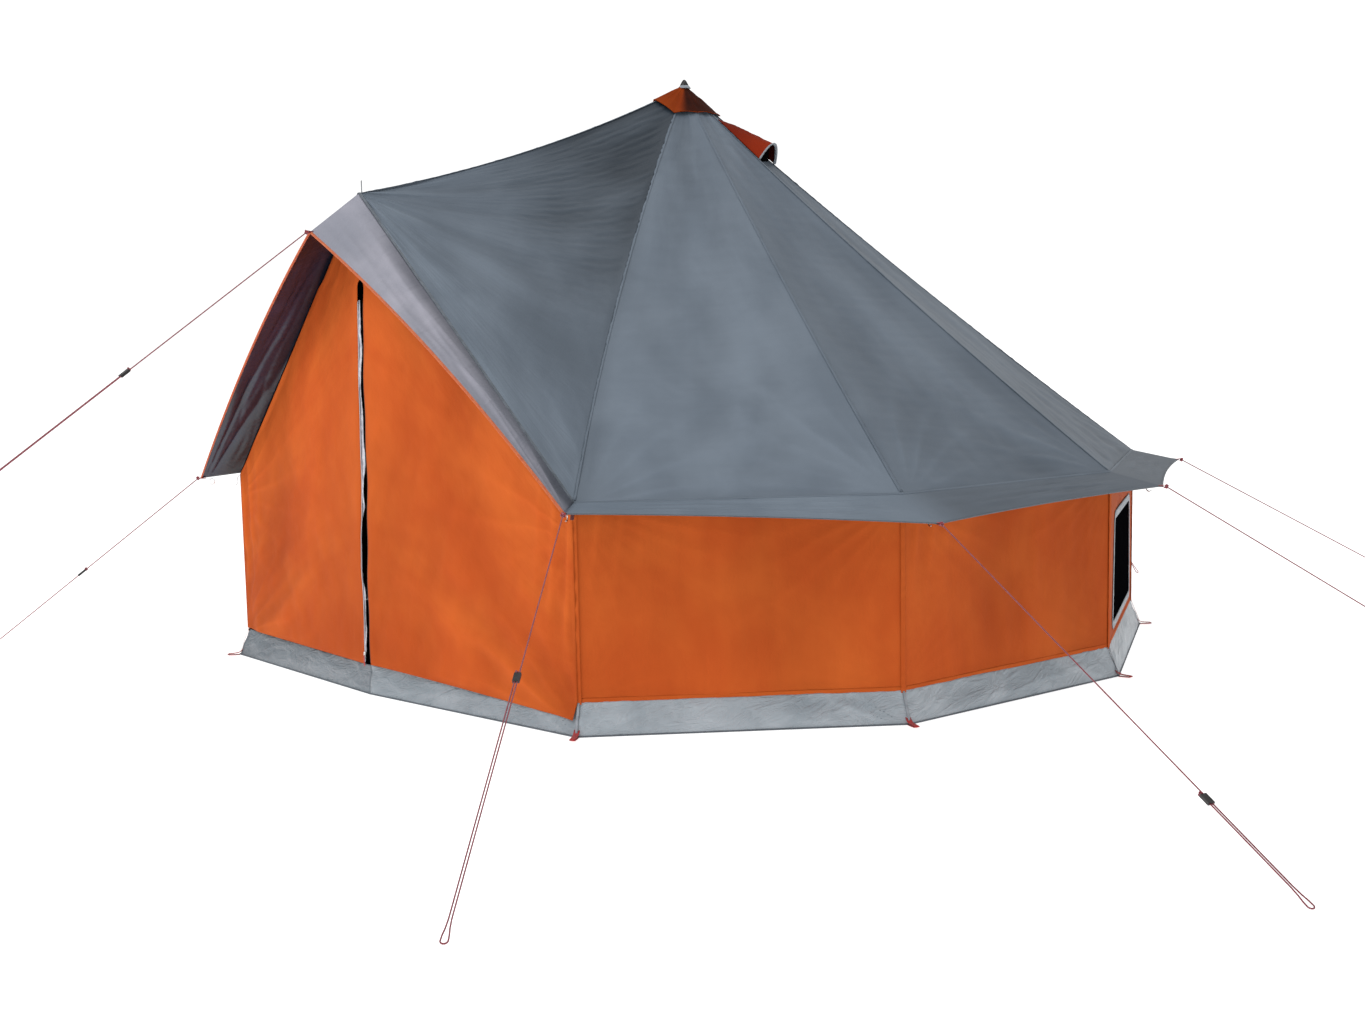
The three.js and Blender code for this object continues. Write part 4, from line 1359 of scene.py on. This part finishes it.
# ---- tub, peg tabs and floor ----
def tub_stations():
    top = [np.array([0, -2.100, TUB_H])] + [wall_foot(c) for c in CORNERS]
    base = [np.array([0, -2.110, 0])] + [polar(BASE_R, c * STEP, 0) for c in CORNERS]
    return np.array([*top, top[0]]), np.array([*base, base[0]])


def make_tub():
    top, base = tub_stations()
    spans = len(top) - 1
    lengths = np.linalg.norm(np.diff(base, axis=0), axis=1)
    bounds = np.concatenate([[0], np.cumsum(lengths)]) / lengths.sum()
    columns = joined(bounds, [91] * spans)

    def place(u):
        k = np.clip(np.searchsorted(bounds, u, side="right") - 1, 0, spans - 1)
        return k, (u - bounds[k]) / (bounds[k + 1] - bounds[k])

    def surface(u, v):
        k, t = place(u)
        t = t[..., None]
        a = top[k] * (1 - t) + top[k + 1] * t
        b = base[k] * (1 - t) + base[k + 1] * t + [0, 0, 0.0015]
        slack = 0.010 * np.sin(math.pi * v[..., None]) * np.sin(math.pi * t)
        outward = b * [1, 1, 0] / np.linalg.norm(b[..., :2], axis=-1, keepdims=True)
        return a * (1 - v[..., None]) + b * v[..., None] + slack * outward

    def relief(x, y, u, v):
        k, t = place(u)
        span = lengths[k]
        x = t * span
        total = 0.0       # creases out of the two corners of each side
        for end, seed in ((0.0, 1.0), (1.0, 2.3)):
            centre = end * span
            dx = np.abs(x - centre)
            dy = 0.150 - v * 0.140
            radius = np.hypot(dx, dy)
            angle = np.arctan2(dy, dx)
            phase = 9 * angle + 0.8 * np.sin(5 * angle + k * 1.7 + seed) + 0.5 * np.sin(7 * radius + k)
            total = total + crease(phase) * np.exp(-(radius / 0.50) ** 1.5) * smooth(0.02, 0.11, radius)
        long_fold = crease(math.pi * (1.3 * v + 0.9 * t + 0.37 * k)) * np.sin(math.pi * t)
        waves = 0.0030 * ripple(x, v * 0.3, 0.33, 500)
        fade = np.sin(math.pi * np.clip(0.06 + 0.94 * v, 0, 1)) ** 0.6
        return fade * (0.0062 * total + 0.0045 * long_fold + waves)

    def shade(x, y, u, v):
        # painted shade: darker on both sides of the door, most of all on its left
        k, t = place(u)
        left_of_door = (k == spans - 1) * (0.64 - 0.1 * t)
        return np.where(k == 0, 0.36, 0.08) + left_of_door

    piece = cloth("cloth_tub", surface, (lengths.sum(), 0.144), (0, 0, 0.01), [TUB, TUB_INSIDE], relief,
                  columns=columns, rows=np.linspace(0, 1, 22), thickness=0.0010, shade=shade,
                  slot="tarpaulin", nodes=["tub_skirt"])
    edge = surface(columns, np.ones_like(columns)) + [0, 0, 0.0028]
    tube("tub_base_edge", edge, 0.0042, DARK_TAPE, 8, closed_ends=False, flatten=0.8)
    for corner in CORNERS:
        outward = outward_at(corner)
        share = np.linspace(0, 1, 12)
        path = lerp(polar(BASE_R, corner * STEP, 0.006), wall_foot(corner) - [0, 0, 0.004], share)
        strip(f"tub_seam_{name_of(corner)}", path + outward * 0.001, TUB_SEAM_WIDTH, outward + [0, 0, 0.3],
              [GREY_TAPE], lift=0.003, slot="tarpaulin", seed=520 + corner)
        make_peg_tab(corner)


def make_peg_tab(corner):
    """A loop of webbing that comes out below the tub's corner and lies on the ground."""
    route = [(-0.014, 0.030), (-0.004, 0.020), (0.010, 0.012), (0.034, 0.010), (0.056, 0.0095),
             (0.063, 0.0065), (0.056, 0.0035), (0.030, 0.0025), (0.002, 0.0025)]
    path = [polar(BASE_R + past, corner * STEP, z) for past, z in route]
    tube(f"peg_tab_{name_of(corner)}", path, 0.0125, RED_WEBBING, 12, flatten=0.1,
         across=sideways_at(corner))


def make_groundsheet():
    _, base = tub_stations()
    inner = base * 0.9955
    spans = len(inner) - 1

    def surface(u, v):
        place = np.clip(u * spans, 0, spans - 1e-9)
        k = place.astype(int)
        t = (place - k)[..., None]
        rim = inner[k] * (1 - t) + inner[k + 1] * t
        return rim * (0.002 + 0.998 * v[..., None]) + [0, 0, 0.0022]

    def relief(x, y, u, v):
        across = BASE_R * v * np.cos(2 * math.pi * u)
        up = BASE_R * v * np.sin(2 * math.pi * u)
        waves = 0.0012 + 0.0011 * ripple(across, up, 0.5, 540)
        return waves * smooth(0, 0.1, v) * (1 - smooth(0.97, 1, v))

    reach = BASE_R - 0.010
    piece = cloth("cloth_groundsheet", surface, (2 * math.pi * reach, reach), (0, 0, 1), [TUB_INSIDE, TUB],
                  relief, columns=np.linspace(0, 1, 145), rows=np.linspace(0, 1, 70),
                  thickness=0.0015, slot="tarpaulin", nodes=["groundsheet"])


# ---- poles ----
def pole_bore(radius):
    """The socket's radius, in proportion to the pole's."""
    return 0.013 * radius / 0.016


def lower_tube(radius, split):
    """A foot cap, the tube and the socket at its top, as a profile of (radius, z)."""
    foot, bore = 0.0034, pole_bore(radius)
    socket_end = split - 0.062
    return [(0, foot), (radius * 1.3, foot), (radius * 1.4, foot + 0.002), (radius * 1.4, foot + 0.012),
            (radius * 1.15, foot + 0.017), (radius, foot + 0.019), (radius, split - 0.003),
            (radius - 0.0008, split), (bore, split), (bore, socket_end), (0, socket_end)]


def upper_tube(radius, split, head):
    """The spigot that fits the socket, the tube above it and its head."""
    spigot, tip = pole_bore(radius) - 0.0008, split - 0.060
    shoulder = split + 0.0004
    return [(0, tip), (spigot - 0.001, tip), (spigot, tip + 0.003), (spigot, shoulder),
            (radius - 0.0008, shoulder), (radius, split + 0.003), *head]


def make_poles():
    neck, top = APEX[2] - 0.030, APEX[2] + 0.009
    centre_r = 0.016
    centre_head = [(centre_r, neck), (0.0145, neck + 0.006), (0.011, neck + 0.014), (0.011, top), (0, top)]
    front_r, shoulder, spike_r, spike_top = 0.0095, 2.218, 0.0025, 2.296
    front_head = [(front_r, shoulder - 0.006), (0.006, shoulder - 0.002), (spike_r, shoulder),
                  (spike_r, spike_top - 0.004), (0.0018, spike_top - 0.0005), (0, spike_top)]
    for name, radius, y, split, head in (("centre_pole", centre_r, 0, 1.420, centre_head),
                                         ("front_pole", front_r, -2.046, 1.110, front_head)):
        profiles = {"lower": lower_tube(radius, split), "upper": upper_tube(radius, split, head)}
        for part, profile in profiles.items():
            spin(f"tube_{name}_{part}", profile, (0, y, 0), STEEL,
                 nodes=[f"{name}_{part}"])


# ---- toggles and hooks under the eaves ----
def make_eave_fittings():
    for corner in CORNERS:
        foot, outward, up = wall_top(corner), outward_at(corner), np.array([0, 0, 1])
        start = foot + outward * 0.010 - up * 0.012
        hang = [(0, 0), (0.010, 0.014), (0.008, 0.036), (0.018, 0.052)]
        path = [start + outward * away - up * down for away, down in hang]
        tube(f"toggle_strap_{name_of(corner)}", path, 0.008, MAROON_WEBBING, 10, flatten=0.16,
             across=sideways_at(corner))
        under = eave(corner) * 0.75 + foot * 0.25 - up * 0.026
        angles = np.linspace(0.2 * math.pi, 1.75 * math.pi, 22)
        hook = [under + (outward * math.cos(a) + up * math.sin(a)) * 0.014 for a in angles]
        tube(f"eave_hook_{name_of(corner)}", hook, 0.0026, ZIP_METAL, 10)


make_camera()
make_studio()
for guy_name, guy_line in guy_lines().items():
    make_guy(guy_name, guy_line)
make_roof()
make_valance()
make_awning(1, "right")
make_awning(-1, "left")
make_cap()
make_hood(3, 4)
make_walls()
make_front(1, "right")
make_front(-1, "left")
make_storm_strip()
make_zip_slider()
make_tub()
make_groundsheet()
make_poles()
make_eave_fittings()
